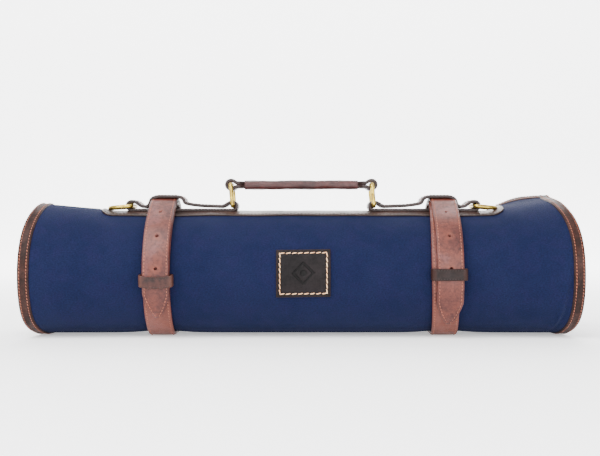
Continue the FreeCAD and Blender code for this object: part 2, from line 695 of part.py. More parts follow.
def tab_path():
    """The middle of an anchor tab's leather, from below the handle ring out to the dee.

    Distances run outwards from the ring's lower bar, heights up from the band's crown.
    """
    skin = size("tab_thick")
    low = skin / 2
    high = low + skin + size("tab_gap")
    ring_loop = size("ring_wire") + size("ring_clear") + skin / 2
    strap = STRAP_REACH - RING_REACH
    dee = DEE_REACH - RING_REACH
    reach = ARCH_HALF
    crown = size("crown_lift") + 2 * size("strap_thick") + 4 * size("strap_gap")
    top = crown + skin / 2
    lower = strap - reach - size("tab_inner_tail")
    path = Path((lower, low), 180)
    path.line(lower)
    path.arc(ring_loop, -180)
    path.reach((size("tab_join"), high), 0)
    path.line(strap - reach - size("arch_foot") - size("tab_join"))
    bend = size("arch_bend")
    foot = size("arch_foot_rise")
    path.reach((strap - reach, high + foot), 90)
    path.line(top - high - foot - bend)
    path.arc(bend, -90)
    path.line(2 * (reach - bend))
    path.arc(bend, -90)
    path.line(top - high - size("arch_foot") - bend)
    path.reach((strap + reach + size("arch_outer_foot"), high), 0)
    path.reach((dee, low + 2 * size("dee_loop")), 0)
    path.arc(size("dee_loop"), -180)
    path.line(dee - strap - reach - size("tab_outer_tail"))
    return path


def build_tab(side, sign):
    """An anchor tab: one strip whose ends loop round a ring and a dee and that arches over the strap."""
    name = "anchor_tab_" + side
    half = "sizes.tab_width / 2"
    skin = size("tab_thick")
    curves = tab_path().outline(skin / 2, -skin / 2)
    rotation = PROFILE if sign > 0 else FreeCAD.Rotation(Vec(-1, 0, 0), Vec(0, 0, 1), Vec(0, 1, 0))
    base = Vec(SHIFT + sign * RING_REACH, AXIS_SETBACK, BAND_TOP)
    label(extrusion(name, curves, rotation, half, half, base), name)


def lower_bar():
    """Height of the handle rings' lower bars."""
    return BAND_TOP + size("tab_thick") + size("ring_clear") + size("ring_wire")


def build_ring(side, sign):
    """A rectangular wire ring that joins the anchor tab to the handle."""
    name = "handle_ring_" + side
    height = size("ring_height")
    lean = FreeCAD.Rotation(Vec(0, 1, 0), -size("ring_lean"))
    rotation = lean.multiply(SECTION)
    base = Vec(SHIFT + sign * RING_REACH, AXIS_SETBACK, lower_bar()) + lean.multVec(Vec(0, 0, height / 2))
    spine = rounded_rectangle(RING_WIDTH, height, RING_CORNER)
    label(wire_ring(name, spine, rotation, base, "ring_wire"), name)


def dee_spine():
    """Spine curves of a dee about its bar's middle: a bar, two short sides and a bow."""
    half = RING_WIDTH / 2
    corner = RING_CORNER
    bow = half - size("ring_bend")
    side = size("dee_reach") - bow - corner
    path = Path((-half + corner, 0), 0)
    path.line(2 * (half - corner)).arc(corner, 90).line(side)
    path.reach((0, size("dee_reach")), 180)
    path.reach((-half, corner + side), 270)
    path.line(side).arc(corner, 90)
    return path.edges(0)


def build_dee(side, sign):
    """A wire dee for a shoulder strap, lying on the band."""
    name = "dee_ring_" + side
    tilt = math.asin(size("tab_thick") / size("dee_reach"))
    outward = Vec(sign * math.cos(tilt), 0, -math.sin(tilt))
    across = Vec(0, -sign, 0)
    rotation = FreeCAD.Rotation(across, outward, across.cross(outward))
    base = Vec(SHIFT + sign * DEE_REACH, AXIS_SETBACK, lower_bar())
    label(wire_ring(name, dee_spine(), rotation, base, "ring_wire"), name)


def handle_middle():
    """The middle of the handle at rest."""
    lean = FreeCAD.Rotation(Vec(0, 1, 0), -size("ring_lean"))
    return Vec(SHIFT, AXIS_SETBACK, lower_bar()) + lean.multVec(Vec(0, 0, size("ring_height")))


def core_path():
    """The closed middle line of the handle's core: two layers with a loop at each end."""
    half = RING_REACH
    flat = GRIP_HALF + size("ring_clear")
    level = size("core_thick") / 2 + size("core_gap")
    loop = size("core_loop")
    path = Path((0, level), 0)
    path.line(flat).reach((half, loop), 0).arc(loop, -180)
    path.reach((flat, -level), 180).line(2 * flat)
    path.reach((-half, -loop), 180).arc(loop, -180)
    path.reach((-flat, level), 0).line(flat)
    return path


def build_handle():
    """The handle's core, and the sleeve wrapped round it."""
    centre = handle_middle()
    path = core_path()
    thick = size("core_thick")
    half = "sizes.tab_width / 2 - sizes.core_inset"
    over = " + sizes.tool_run"
    band = extrusion("core_band", path.edges(thick / 2), PROFILE, half, half, centre)
    hole = extrusion("core_hole", path.edges(-thick / 2), PROFILE, half + over, half + over, centre)
    length = "sizes.ring_span - 2 * sizes.grip_inset"
    level = FreeCAD.Rotation()
    web = box("core_web", (length, "sizes.core_waist", "sizes.core_thick"), centre, level)
    trims = []
    for k, sign in enumerate((-1, 1)):
        middle = centre + Vec(0, sign * (size("core_waist") / 2 + CORE_HALF), 0)
        long = length + " + 2 * sizes.tool_run"
        sizes = (long, "sizes.tab_width - 2 * sizes.core_inset", "4 * sizes.core_loop")
        trims.append(box(f"core_trim_{k}", sizes, middle, level))
    body = cut("core_loops", band, [hole] + trims)
    label(fuse("handle_core", [body, web]), "handle_core")
    half = "sizes.ring_span / 2 - sizes.grip_inset"
    outside = rounded_rectangle(GRIP_DEPTH, GRIP_HEIGHT, GRIP_HEIGHT / 2 - size("grip_flat"))
    sleeve = extrusion("sleeve", outside, SECTION, half, half, centre)
    gap = 2 * size("grip_gap")
    room = rounded_rectangle(size("core_waist") + gap, 2 * thick + gap, size("tunnel_bend"))
    tunnel = extrusion("tunnel", room, SECTION, half + over, half + over, centre)
    label(cut("handle_grip", sleeve, [tunnel]), "handle_grip")


def build_patch():
    """The maker's patch: bent leather with a pressed lozenge and a plain dot."""
    radius = size("roll_radius")
    middle = size("patch_angle")
    half = math.degrees(size("patch_height") / 2 / radius)
    path = Path(polar(radius, middle - half), middle - half + 90).arc(radius, 2 * half)
    thick = size("patch_thick")
    width = "sizes.patch_width / 2"
    blank = extrusion("patch_blank", path.outline(-thick, 0), SECTION, width, width, Vec(SHIFT, 0, 0))
    outward = radial(middle)
    up = Vec(1, 0, 0).cross(outward) * -1
    up = up if up.z > 0 else up * -1
    rotation = FreeCAD.Rotation(Vec(1, 0, 0), up, Vec(1, 0, 0).cross(up))
    base = at(SHIFT, polar(radius + thick - size("emblem_depth") - size("emblem_bow"), middle))
    out = "sizes.patch_thick * 4"
    far = ("0", out) if rotation.multVec(Vec(0, 0, 1)).dot(outward) < 0 else (out, "0")
    line = size("emblem_line")
    reach = size("emblem_half")
    lozenges = [lozenge(reach), lozenge(reach - LOZENGE_LINE * line)]
    frame = cut("emblem_frame",
                extrusion("emblem_outer", lozenges[0], rotation, *far, base=base),
                [extrusion("emblem_inner", lozenges[1], rotation, *far, base=base)])
    dot = cylinder("emblem_dot", f"sizes.emblem_line * {DOT_LINE}", out, base, outward)
    label(cut("maker_patch", blank, [frame, dot]), "maker_patch")


def lozenge(reach):
    """The outline of a square standing on its corner."""
    corners = [Vec(reach, 0, 0), Vec(0, reach, 0), Vec(-reach, 0, 0), Vec(0, -reach, 0)]
    return [Part.LineSegment(corners[k], corners[(k + 1) % 4]) for k in range(4)]


def write_parts():
    """Checks every object and writes each piece to its own file."""
    doc.recompute()
    for item in doc.Objects:
        for fault in ("Invalid", "Error"):
            if fault in item.State:
                raise RuntimeError(f"{item.Label} is {fault.lower()}")
    os.makedirs("parts", exist_ok=True)
    for piece in PIECES:
        shape = piece.Shape
        if shape.isNull() or not shape.isValid() or not shape.Solids:
            raise RuntimeError(f"{piece.Label} has no valid solid")
        if any(solid.Volume <= 0 for solid in shape.Solids):
            raise RuntimeError(f"{piece.Label} has a solid with no volume")
        shape.exportStep(os.path.join("parts", piece.Label + ".step"))
        print(piece.Label, len(shape.Solids), round(shape.Volume, 1))


build_sheet()
build_bindings()
build_band()
for which, hand, tip, loop in (
    ("left", -1, size("left_tip"), size("left_keeper")),
    ("right", 1, size("right_tip"), size("right_keeper")),
):
    middle = SHIFT + hand * STRAP_REACH
    build_strap(which, middle, tip)
    build_buckle(which, middle)
    build_keeper(which, middle, loop)
    build_tab(which, hand)
    build_ring(which, hand)
    build_dee(which, hand)
build_handle()
build_patch()
write_parts()
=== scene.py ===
"""Looks of a rolled canvas brush case with leather trim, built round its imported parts.

Every piece is in metres in the frame of the parts. The roll's axis runs along X, the front
faces -Y, and section angles turn in the YZ plane from the back (+Y) over the top (+Z).
"""

import logging
import math
from dataclasses import dataclass, field
from enum import Enum
from typing import Any, Callable, Optional, Sequence

import bmesh
import bpy
import numpy as np
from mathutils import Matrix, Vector


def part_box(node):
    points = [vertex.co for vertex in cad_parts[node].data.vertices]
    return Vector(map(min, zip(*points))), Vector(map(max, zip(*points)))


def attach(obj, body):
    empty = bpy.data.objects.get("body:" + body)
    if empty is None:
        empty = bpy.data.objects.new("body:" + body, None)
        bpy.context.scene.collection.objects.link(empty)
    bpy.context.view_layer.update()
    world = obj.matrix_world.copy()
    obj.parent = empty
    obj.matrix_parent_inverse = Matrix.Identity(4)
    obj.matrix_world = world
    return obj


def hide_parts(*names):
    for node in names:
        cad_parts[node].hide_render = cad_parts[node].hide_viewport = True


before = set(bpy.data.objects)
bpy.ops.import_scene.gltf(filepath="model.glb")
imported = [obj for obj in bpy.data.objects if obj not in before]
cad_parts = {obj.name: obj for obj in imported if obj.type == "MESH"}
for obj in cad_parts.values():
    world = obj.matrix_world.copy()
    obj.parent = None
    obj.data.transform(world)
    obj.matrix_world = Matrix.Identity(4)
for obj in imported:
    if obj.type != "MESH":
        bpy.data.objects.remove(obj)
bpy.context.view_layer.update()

LOG = logging.getLogger("brush_roll")
MM = 0.001
RING_REACH = 68.25 * MM
RIM_REACH = 2.2 * MM
Array = np.ndarray
Piece = bpy.types.Object
Socket = bpy.types.NodeSocket
Material = bpy.types.Material
Colour = tuple[float, float, float, float]
Place = Callable[[Array, Array, Array], Array]


class Hand(Enum):
    """Which end of the roll a piece belongs to."""

    LEFT = ("left", -1)
    RIGHT = ("right", 1)

    @property
    def word(self) -> str:
        """The word that ends the piece's name."""
        return self.value[0]

    @property
    def sign(self) -> int:
        """The side of the roll along X."""
        return self.value[1]


class Slot(Enum):
    """The record's material slots."""

    CANVAS = "navy_canvas"
    FELT = "grey_felt"
    LINING = "navy_lining"
    BROWN = "brown_leather"
    DARK = "dark_leather"
    BAND = "band_leather"
    BRASS = "antique_brass"


class Weave(Enum):
    """How the threads of a cloth cross."""

    PLAIN = "plain"
    TWILL = "twill"


# ---------------------------------------------------------------- small sums


def ink(code: str) -> Colour:
    """A display colour written as hexadecimal, as a linear colour.

    Args:
        code: Six hexadecimal digits after a hash sign.

    Returns:
        Red, green, blue and a full alpha.
    """
    parts = [int(code[k : k + 2], 16) / 255 for k in (1, 3, 5)]
    linear = [p / 12.92 if p <= 0.04045 else ((p + 0.055) / 1.055) ** 2.4 for p in parts]
    return (linear[0], linear[1], linear[2], 1.0)


def ease(value: Any) -> Any:
    """Clamps to 0..1 and rounds both ends of the ramp."""
    t = np.clip(value, 0.0, 1.0)
    return t * t * (3.0 - 2.0 * t)


def hump(value: Any, centre: float, reach: float) -> Any:
    """A smooth hill of height 1."""
    return np.exp(-(((value - centre) / reach) ** 2))


def turn_between(angle: Any, centre: float) -> Any:
    """The signed angle in degrees from centre, between -180 and 180."""
    return (angle - centre + 180.0) % 360.0 - 180.0


def ripple(u: Array, v: Array, seed: int, waves: int = 7) -> Array:
    """Soft unevenness made of a few seeded waves.

    Args:
        u: First coordinate, about one unit to a wave.
        v: Second coordinate.
        seed: Chooses the waves.
        waves: How many are added up.

    Returns:
        Values of about -1 to 1.
    """
    draw = np.random.default_rng(seed)
    total = np.zeros(np.broadcast(u, v).shape)
    for _ in range(waves):
        heading = draw.uniform(0, math.pi)
        pitch = draw.uniform(0.5, 1.9)
        phase = draw.uniform(0, 2 * math.pi)
        total += np.sin(2 * math.pi * pitch * (u * math.cos(heading) + v * math.sin(heading)) + phase)
    return total / math.sqrt(2.0 * waves)


class SectionPath:
    """A run of straight and round stretches in a plane, each tangent to the last."""

    def __init__(self, point: Sequence[float], heading: float) -> None:
        """Starts a run.

        Args:
            point: The first point.
            heading: The first direction, in degrees.
        """
        self.point = np.array(point, float)
        self.heading = math.radians(heading)
        self.stretches: list[tuple[Array, float, float, float]] = []

    def _add(self, length: float, bend: float) -> "SectionPath":
        """Adds a stretch of one curvature and moves to its end.

        Args:
            length: The stretch's length.
            bend: Its curvature, positive to the left.

        Returns:
            This run.
        """
        self.stretches.append((self.point, self.heading, length, bend))
        self.point, self.heading = self._walk(self.stretches[-1], length)
        return self

    @staticmethod
    def _walk(stretch: tuple[Array, float, float, float], s: float) -> tuple[Array, float]:
        """The point and heading at a distance along one stretch.

        Args:
            stretch: Its first point, first heading, length and curvature.
            s: The distance from its start.

        Returns:
            The point and the heading in radians.
        """
        point, heading, _, bend = stretch
        if abs(bend) < 1e-9:
            return point + s * np.array([math.cos(heading), math.sin(heading)]), heading
        end = heading + bend * s
        step = np.array([math.sin(end) - math.sin(heading), math.cos(heading) - math.cos(end)])
        return point + step / bend, end

    def line(self, length: float) -> "SectionPath":
        """Goes straight on."""
        return self._add(length, 0.0)

    def arc(self, radius: float, degrees: float) -> "SectionPath":
        """Turns left by degrees, or right if they are negative."""
        turn = math.radians(degrees)
        return self._add(radius * abs(turn), math.copysign(1 / radius, turn))

    def reach(self, point: Sequence[float], heading: float) -> "SectionPath":
        """Goes to a point and heading by two tangent arcs.

        Args:
            point: Where to end.
            heading: The direction to end with, in degrees.

        Returns:
            This run.
        """
        end = math.radians(heading)
        t1 = np.array([math.cos(self.heading), math.sin(self.heading)])
        t2 = np.array([math.cos(end), math.sin(end)])
        goal = np.array(point, float)
        v = goal - self.point
        flat = 2 * (1 - float(t1 @ t2))
        vt = float(v @ (t1 + t2))
        square = float(v @ v)
        pull = square / (2 * vt) if flat < 1e-9 else (-vt + math.sqrt(vt * vt + flat * square)) / flat
        joint = (self.point + goal + pull * (t1 - t2)) / 2
        return self._bend(joint)._bend(goal)

    def _bend(self, point: Array) -> "SectionPath":
        """One arc, tangent to the heading, that ends at a point.

        Args:
            point: Where the arc ends.

        Returns:
            This run.
        """
        gap = point - self.point
        chord = float(np.linalg.norm(gap))
        half = math.remainder(math.atan2(gap[1], gap[0]) - self.heading, 2 * math.pi)
        if abs(half) < 1e-6:
            return self.line(chord)
        return self._add(chord * half / math.sin(half), 2 * math.sin(half) / chord)

    @property
    def length(self) -> float:
        """The whole length."""
        return sum(s[2] for s in self.stretches)

    def table(self, step: float, spare: float = 0.0) -> tuple[Array, Array, Array]:
        """Closely spaced points along the run.

        Args:
            step: The distance between points.
            spare: How far the run goes straight on past both of its ends.

        Returns:
            Distances, points (N, 2) and headings in radians.
        """
        where = np.linspace(-spare, self.length + spare, int((self.length + 2 * spare) / step) + 2)
        starts = np.cumsum([0.0] + [s[2] for s in self.stretches])
        points, headings = np.empty((len(where), 2)), np.empty(len(where))
        for k, s in enumerate(where):
            index = int(np.clip(np.searchsorted(starts, s, side="right") - 1, 0, len(self.stretches) - 1))
            inside = float(np.clip(s - starts[index], 0.0, self.stretches[index][2]))
            point, heading = self._walk(self.stretches[index], inside)
            over = s - starts[index] - inside
            points[k] = point + over * np.array([math.cos(heading), math.sin(heading)])
            headings[k] = heading
        return where, points, headings


class Track:
    """A path read quickly at many distances, with a side direction."""

    def __init__(self, path: SectionPath, step: float = 0.4 * MM, spare: float = 6 * MM) -> None:
        """Tabulates a path."""
        self.length = path.length
        self.s, self.points, self.headings = path.table(step, spare)

    def read(self, s: Array) -> tuple[Array, Array, Array, Array]:
        """Points and left-hand normals at distances along the path.

        Args:
            s: The distances.

        Returns:
            First and second coordinate, then the two parts of the normal to the left.
        """
        u = np.interp(s, self.s, self.points[:, 0])
        v = np.interp(s, self.s, self.points[:, 1])
        turn = np.interp(s, self.s, self.headings)
        return u, v, -np.sin(turn), np.cos(turn)


# ------------------------------------------------------------------- meshes


def new_mesh(name: str, points: Array, faces: Sequence[Sequence[int]],
             smooth: bool = True) -> Piece:
    """A mesh object at the origin, linked to the scene.

    Args:
        name: The piece's name.
        points: Vertices (N, 3), in metres.
        faces: Corner indices of each face.
        smooth: Whether the faces are shaded smooth.

    Returns:
        The object.
    """
    mesh = bpy.data.meshes.new(name)
    mesh.from_pydata([tuple(p) for p in points], [], faces)
    mesh.update()
    mesh.shade_smooth() if smooth else mesh.shade_flat()
    made = bpy.data.objects.new(name, mesh)
    bpy.context.scene.collection.objects.link(made)
    return made


def face_outwards(piece: Piece) -> None:
    """Merges doubled points and turns every face of a closed piece outwards.

    Args:
        piece: The mesh object.
    """
    shell = bmesh.new()
    shell.from_mesh(piece.data)
    bmesh.ops.remove_doubles(shell, verts=shell.verts, dist=1e-7)
    bmesh.ops.recalc_face_normals(shell, faces=shell.faces)
    shell.to_mesh(piece.data)
    shell.free()
    piece.data.update()


def write_points(piece: Piece, name: str, values: Array) -> None:
    """Stores one number at every point of a mesh."""
    layer = piece.data.attributes.new(name, "FLOAT", "POINT")
    layer.data.foreach_set("value", np.asarray(values, np.float32).ravel())


def write_map(piece: Piece, u: Array, v: Array) -> None:
    """Stores a flat map of a piece, in metres, from two numbers at every point.

    Args:
        piece: The mesh object.
        u: The first number at each point.
        v: The second.
    """
    layer = piece.data.uv_layers.new(name="cut")
    corners = np.empty(len(piece.data.loops), np.int32)
    piece.data.loops.foreach_get("vertex_index", corners)
    flat = np.stack([np.asarray(u).ravel()[corners], np.asarray(v).ravel()[corners]], 1)
    layer.data.foreach_set("uv", flat.astype(np.float32).ravel())


def wall(index: Array, closed: bool = False) -> list[Sequence[int]]:
    """The faces between neighbouring rings of points, each ring joined up with itself.

    Args:
        index: The points' numbers, one ring to a row.
        closed: Whether the last ring joins the first.

    Returns:
        Four corners for each face.
    """
    rows, cols = index.shape
    faces: list[Sequence[int]] = []
    for r in range(rows if closed else rows - 1):
        one, two = index[r], index[(r + 1) % rows]
        faces += [(one[k], one[(k + 1) % cols], two[(k + 1) % cols], two[k]) for k in range(cols)]
    return faces


@dataclass(frozen=True)
class StripShape:
    """The cross-section of a strip of leather or cloth: rounded edges and a slight crown."""

    thick: float
    edge: float = 0.5 * MM
    crown: float = 0.0
    columns: int = 6
    corner_steps: int = 3

    def loop(self) -> tuple[Array, Array, Array]:
        """One turn round the section, from the left of its top face.

        Returns:
            For each point: its share of the flat half-width, what is added beyond it, and its height.
        """
        share, beyond, height = [], [], []
        for k in np.linspace(-1, 1, self.columns + 1):
            share.append(k)
            beyond.append(0.0)
            height.append(self.thick + self.crown * (1 - k * k))
        bend = min(self.edge, self.thick / 2)
        straight = self.thick - 2 * bend
        turns = np.linspace(90, -90, 2 * self.corner_steps + 1)[1:-1]
        for t in turns:
            share.append(1.0)
            beyond.append(bend * math.cos(math.radians(t)))
            height.append(self.thick / 2 + math.sin(math.radians(t)) * (bend + straight / 2))
        for k in np.linspace(1, -1, self.columns + 1):
            share.append(k)
            beyond.append(0.0)
            height.append(0.0)
        for t in turns[::-1]:
            share.append(-1.0)
            beyond.append(-bend * math.cos(math.radians(t)))
            height.append(self.thick / 2 + math.sin(math.radians(t)) * (bend + straight / 2))
        return np.array(share), np.array(beyond), np.array(height)


def strip(
    name: str,
    along: Array,
    half: Array,
    shape: StripShape,
    place: Place,
    closed: bool = False,
    relief: Optional[Place] = None,
) -> Piece:
    """A solid strip laid along a run.

    Args:
        name: The piece's name.
        along: Distances of its stations.
        half: Its half-width at each station.
        shape: Its cross-section.
        place: Turns distances along, across and up into points.
        closed: Whether the strip joins up with itself.
        relief: An optional change of height from the distances along, across and up.

    Returns:
        The object, with its flat map and a "rim" number that is 1 on the edges.
    """
    share, beyond, height = shape.loop()
    along, half = np.asarray(along, float), np.asarray(half, float)
    if not closed:
        bend = min(shape.edge, shape.thick / 2)
        steps = np.radians(np.linspace(0, 90, shape.corner_steps + 1)[:-1])
        inset = bend * (1 - np.sin(steps))
        first, last = along[0] + bend * (1 - np.cos(steps)), along[-1] - bend * (1 - np.cos(steps[::-1]))
        shrink = np.concatenate([inset, np.zeros(len(along) - 2), inset[::-1]])
        half = np.concatenate([np.full(len(steps), half[0]), half[1:-1], np.full(len(steps), half[-1])])
        along = np.concatenate([first, along[1:-1], last])
    else:
        shrink = np.zeros(len(along))
    flat = np.maximum(half - shape.edge, 0.05 * MM)
    a = np.repeat(along[:, None], len(share), 1)
    c = share[None] * flat[:, None] + beyond[None]
    middle = shape.thick / 2
    squeeze = np.clip(1 - shrink[:, None] / middle, 0.05, 1)
    h = middle + (height[None] - middle) * squeeze
    if relief is not None:
        h = h + relief(a, c, h)
    points = place(a, c, h)
    rows, cols = a.shape
    index = np.arange(rows * cols).reshape(rows, cols)
    faces = wall(index, closed)
    if not closed:
        top = shape.columns + 1
        side = len(share) // 2 - top
        for r in (0, rows - 1):
            line = index[r]
            upper = list(line[:top])
            lower = list(line[top + side : 2 * top + side])[::-1]
            faces += [(upper[k], upper[k + 1], lower[k + 1], lower[k]) for k in range(shape.columns)]
            faces.append([upper[-1]] + list(line[top : top + side]) + [lower[-1]])
            faces.append([upper[0]] + list(line[2 * top + side :])[::-1] + [lower[0]])
    made = new_mesh(name, points.reshape(-1, 3), faces)
    around = np.cumsum(np.concatenate([[0.0], np.hypot(np.diff(beyond), np.diff(height))]))
    write_map(made, a, c + around[None] * 0.5)
    reach = half[:, None] - np.abs(c)
    rim = 1 - ease(reach / RIM_REACH)
    if not closed:
        ends = np.minimum(a - along[0], along[-1] - a)
        rim = np.maximum(rim, 1 - ease(ends / RIM_REACH))
    write_points(made, "rim", rim)
    face_outwards(made)
    return made


def join(name: str, pieces: Sequence[Piece]) -> Piece:
    """Joins pieces into the first of them.

    Args:
        name: The name of the result.
        pieces: The objects to join.

    Returns:
        The joined object.
    """
    with bpy.context.temp_override(active_object=pieces[0], selected_editable_objects=list(pieces)):
        bpy.ops.object.join()
    pieces[0].name = name
    pieces[0].data.name = name
    return pieces[0]


def settle(piece: Piece) -> None:
    """Turns a piece's modifiers into its mesh and takes them off.

    Args:
        piece: The object.
    """
    seen = piece.evaluated_get(bpy.context.evaluated_depsgraph_get())
    mesh = bpy.data.meshes.new_from_object(seen)
    mesh.name = piece.name
    piece.modifiers.clear()
    piece.data = mesh


def drill(piece: Piece, cutters: Sequence[Piece]) -> None:
    """Cuts holes through a piece.

    Args:
        piece: The closed mesh to cut.
        cutters: Closed meshes that are taken away and removed.
    """
    for tool in cutters:
        change = piece.modifiers.new("holes", "BOOLEAN")
        change.operation = "DIFFERENCE"
        change.solver = "EXACT"
        change.object = tool
        settle(piece)
        bpy.data.objects.remove(tool)
        LOG.info("cut %s: %d faces left", piece.name, len(piece.data.polygons))


def rod(name: str, base: Array, top: Array, radius: float, sides: int = 20) -> Piece:
    """A closed round bar between two points.

    Args:
        name: The object's name.
        base: One end.
        top: The other end.
        radius: Its radius.
        sides: How many sides it has.

    Returns:
        The object.
    """
    axis = Vector(top - base)
    turn = axis.to_track_quat("Z", "Y")
    ring = [turn @ Vector((radius * math.cos(t), radius * math.sin(t), 0.0))
            for t in np.linspace(0, 2 * math.pi, sides, endpoint=False)]
    points = [Vector(base) + r for r in ring] + [Vector(top) + r for r in ring]
    index = np.arange(2 * sides).reshape(2, sides)
    faces = wall(index) + [list(index[0])[::-1], list(index[1])]
    made = new_mesh(name, np.array([list(p) for p in points]), faces)
    face_outwards(made)
    return made


# ---------------------------------------------------------------- materials


class ShaderKit:
    """Builds one material's nodes with few words."""

    def __init__(self, name: str) -> None:
        """Starts a material with an empty Principled shader.

        Args:
            name: The material's name.
        """
        self.material = bpy.data.materials.new(name)
        self.material.use_nodes = True
        self.tree = self.material.node_tree
        self.tree.nodes.clear()
        self.shader = self.node("ShaderNodeBsdfPrincipled")
        out = self.node("ShaderNodeOutputMaterial")
        self.tree.links.new(self.shader.outputs[0], out.inputs["Surface"])

    def node(self, kind: str, values: Optional[dict[Any, Any]] = None, **settings: Any) -> bpy.types.Node:
        """Adds a node.

        Args:
            kind: Its type.
            values: What its inputs get, by name or number: a socket or a constant.
            settings: Its properties.

        Returns:
            The node.
        """
        made = self.tree.nodes.new(kind)
        for key, value in settings.items():
            setattr(made, key, value)
        for key, value in (values or {}).items():
            self.give(made.inputs[key], value)
        return made

    def give(self, socket: Socket, value: Any) -> None:
        """Links a socket, or sets its constant.

        Args:
            socket: The input.
            value: Another socket or a constant.
        """
        if isinstance(value, Socket):
            self.tree.links.new(value, socket)
        else:
            socket.default_value = value

    def body(self) -> Socket:
        """Coordinates fixed to the piece, in metres."""
        return self.node("ShaderNodeTexCoord").outputs["Object"]

    def cut(self) -> Socket:
        """Coordinates on the piece's own flat map, in metres."""
        return self.node("ShaderNodeUVMap", uv_map="cut").outputs["UV"]

    def stretched(self, vector: Socket, scale: Sequence[float], turn: float = 0.0) -> Socket:
        """Coordinates scaled differently each way, and turned about their third axis."""
        values = {"Vector": vector, "Scale": tuple(scale), "Rotation": (0.0, 0.0, turn)}
        return self.node("ShaderNodeMapping", values).outputs[0]

    def noise(self, vector: Socket, scale: float, detail: float = 3.0, rough: float = 0.55,
              warp: float = 0.0) -> Socket:
        """Cloudy values about one half."""
        values = {"Vector": vector, "Scale": scale, "Detail": detail, "Roughness": rough, "Distortion": warp}
        return self.node("ShaderNodeTexNoise", values).outputs[0]

    def cells(self, vector: Socket, scale: float) -> Socket:
        """The distance to the nearest cell wall, as in the grain of leather."""
        values = {"Vector": vector, "Scale": scale}
        return self.node("ShaderNodeTexVoronoi", values, feature="DISTANCE_TO_EDGE").outputs["Distance"]

    def band(self, vector: Socket, scale: float, direction: str) -> Socket:
        """Parallel threads across one direction."""
        values = {"Vector": vector, "Scale": scale, "Distortion": 0.0}
        return self.node("ShaderNodeTexWave", values, bands_direction=direction).outputs[1]

    def spread(self, value: Socket, low: float, high: float, new_low: float = 0.0,
               new_high: float = 1.0) -> Socket:
        """A clamped stretch from one range to another."""
        values = {0: value, 1: low, 2: high, 3: new_low, 4: new_high}
        return self.node("ShaderNodeMapRange", values, interpolation_type="SMOOTHSTEP").outputs[0]

    def sum(self, operation: str, a: Any, b: Any) -> Socket:
        """A sum on two values."""
        return self.node("ShaderNodeMath", {0: a, 1: b}, operation=operation).outputs[0]

    def mix(self, share: Any, a: Any, b: Any, blend: str = "MIX") -> Socket:
        """One colour laid over another."""
        made = self.node("ShaderNodeMix", {0: share, 6: a, 7: b}, data_type="RGBA", blend_type=blend)
        return made.outputs[2]

    def dimmed(self, tone: Socket, light: Socket) -> Socket:
        """A colour made lighter or darker by a number."""
        grey = self.node("ShaderNodeCombineColor", {0: light, 1: light, 2: light}).outputs[0]
        return self.mix(1.0, tone, grey, "MULTIPLY")

    def stored(self, name: str) -> Socket:
        """A number stored at the mesh's points."""
        return self.node("ShaderNodeAttribute", attribute_name=name).outputs["Fac"]

    def relief(self, height: Socket, depth: float, strength: float = 1.0,
               under: Optional[Socket] = None) -> Socket:
        """A bump in the surface.

        Args:
            height: What is raised.
            depth: How far, in metres.
            strength: How much of it is used.
            under: The normal it is added to.

        Returns:
            The bumped normal.
        """
        values: dict[Any, Any] = {"Height": height, "Distance": depth, "Strength": strength}
        if under is not None:
            values["Normal"] = under
        return self.node("ShaderNodeBump", values).outputs[0]

    def finish(self, colour: Any, rough: Any, normal: Any, **others: Any) -> Material:
        """Fills in the shader.

        Args:
            colour: The base colour.
            rough: The roughness.
            normal: The bumped normal.
            others: Constants for other sockets, with underscores for spaces.

        Returns:
            The material.
        """
        self.give(self.shader.inputs["Base Color"], colour)
        self.give(self.shader.inputs["Roughness"], rough)
        self.give(self.shader.inputs["Normal"], normal)
        for key, value in others.items():
            self.give(self.shader.inputs[key.replace("_", " ")], value)
        return self.material


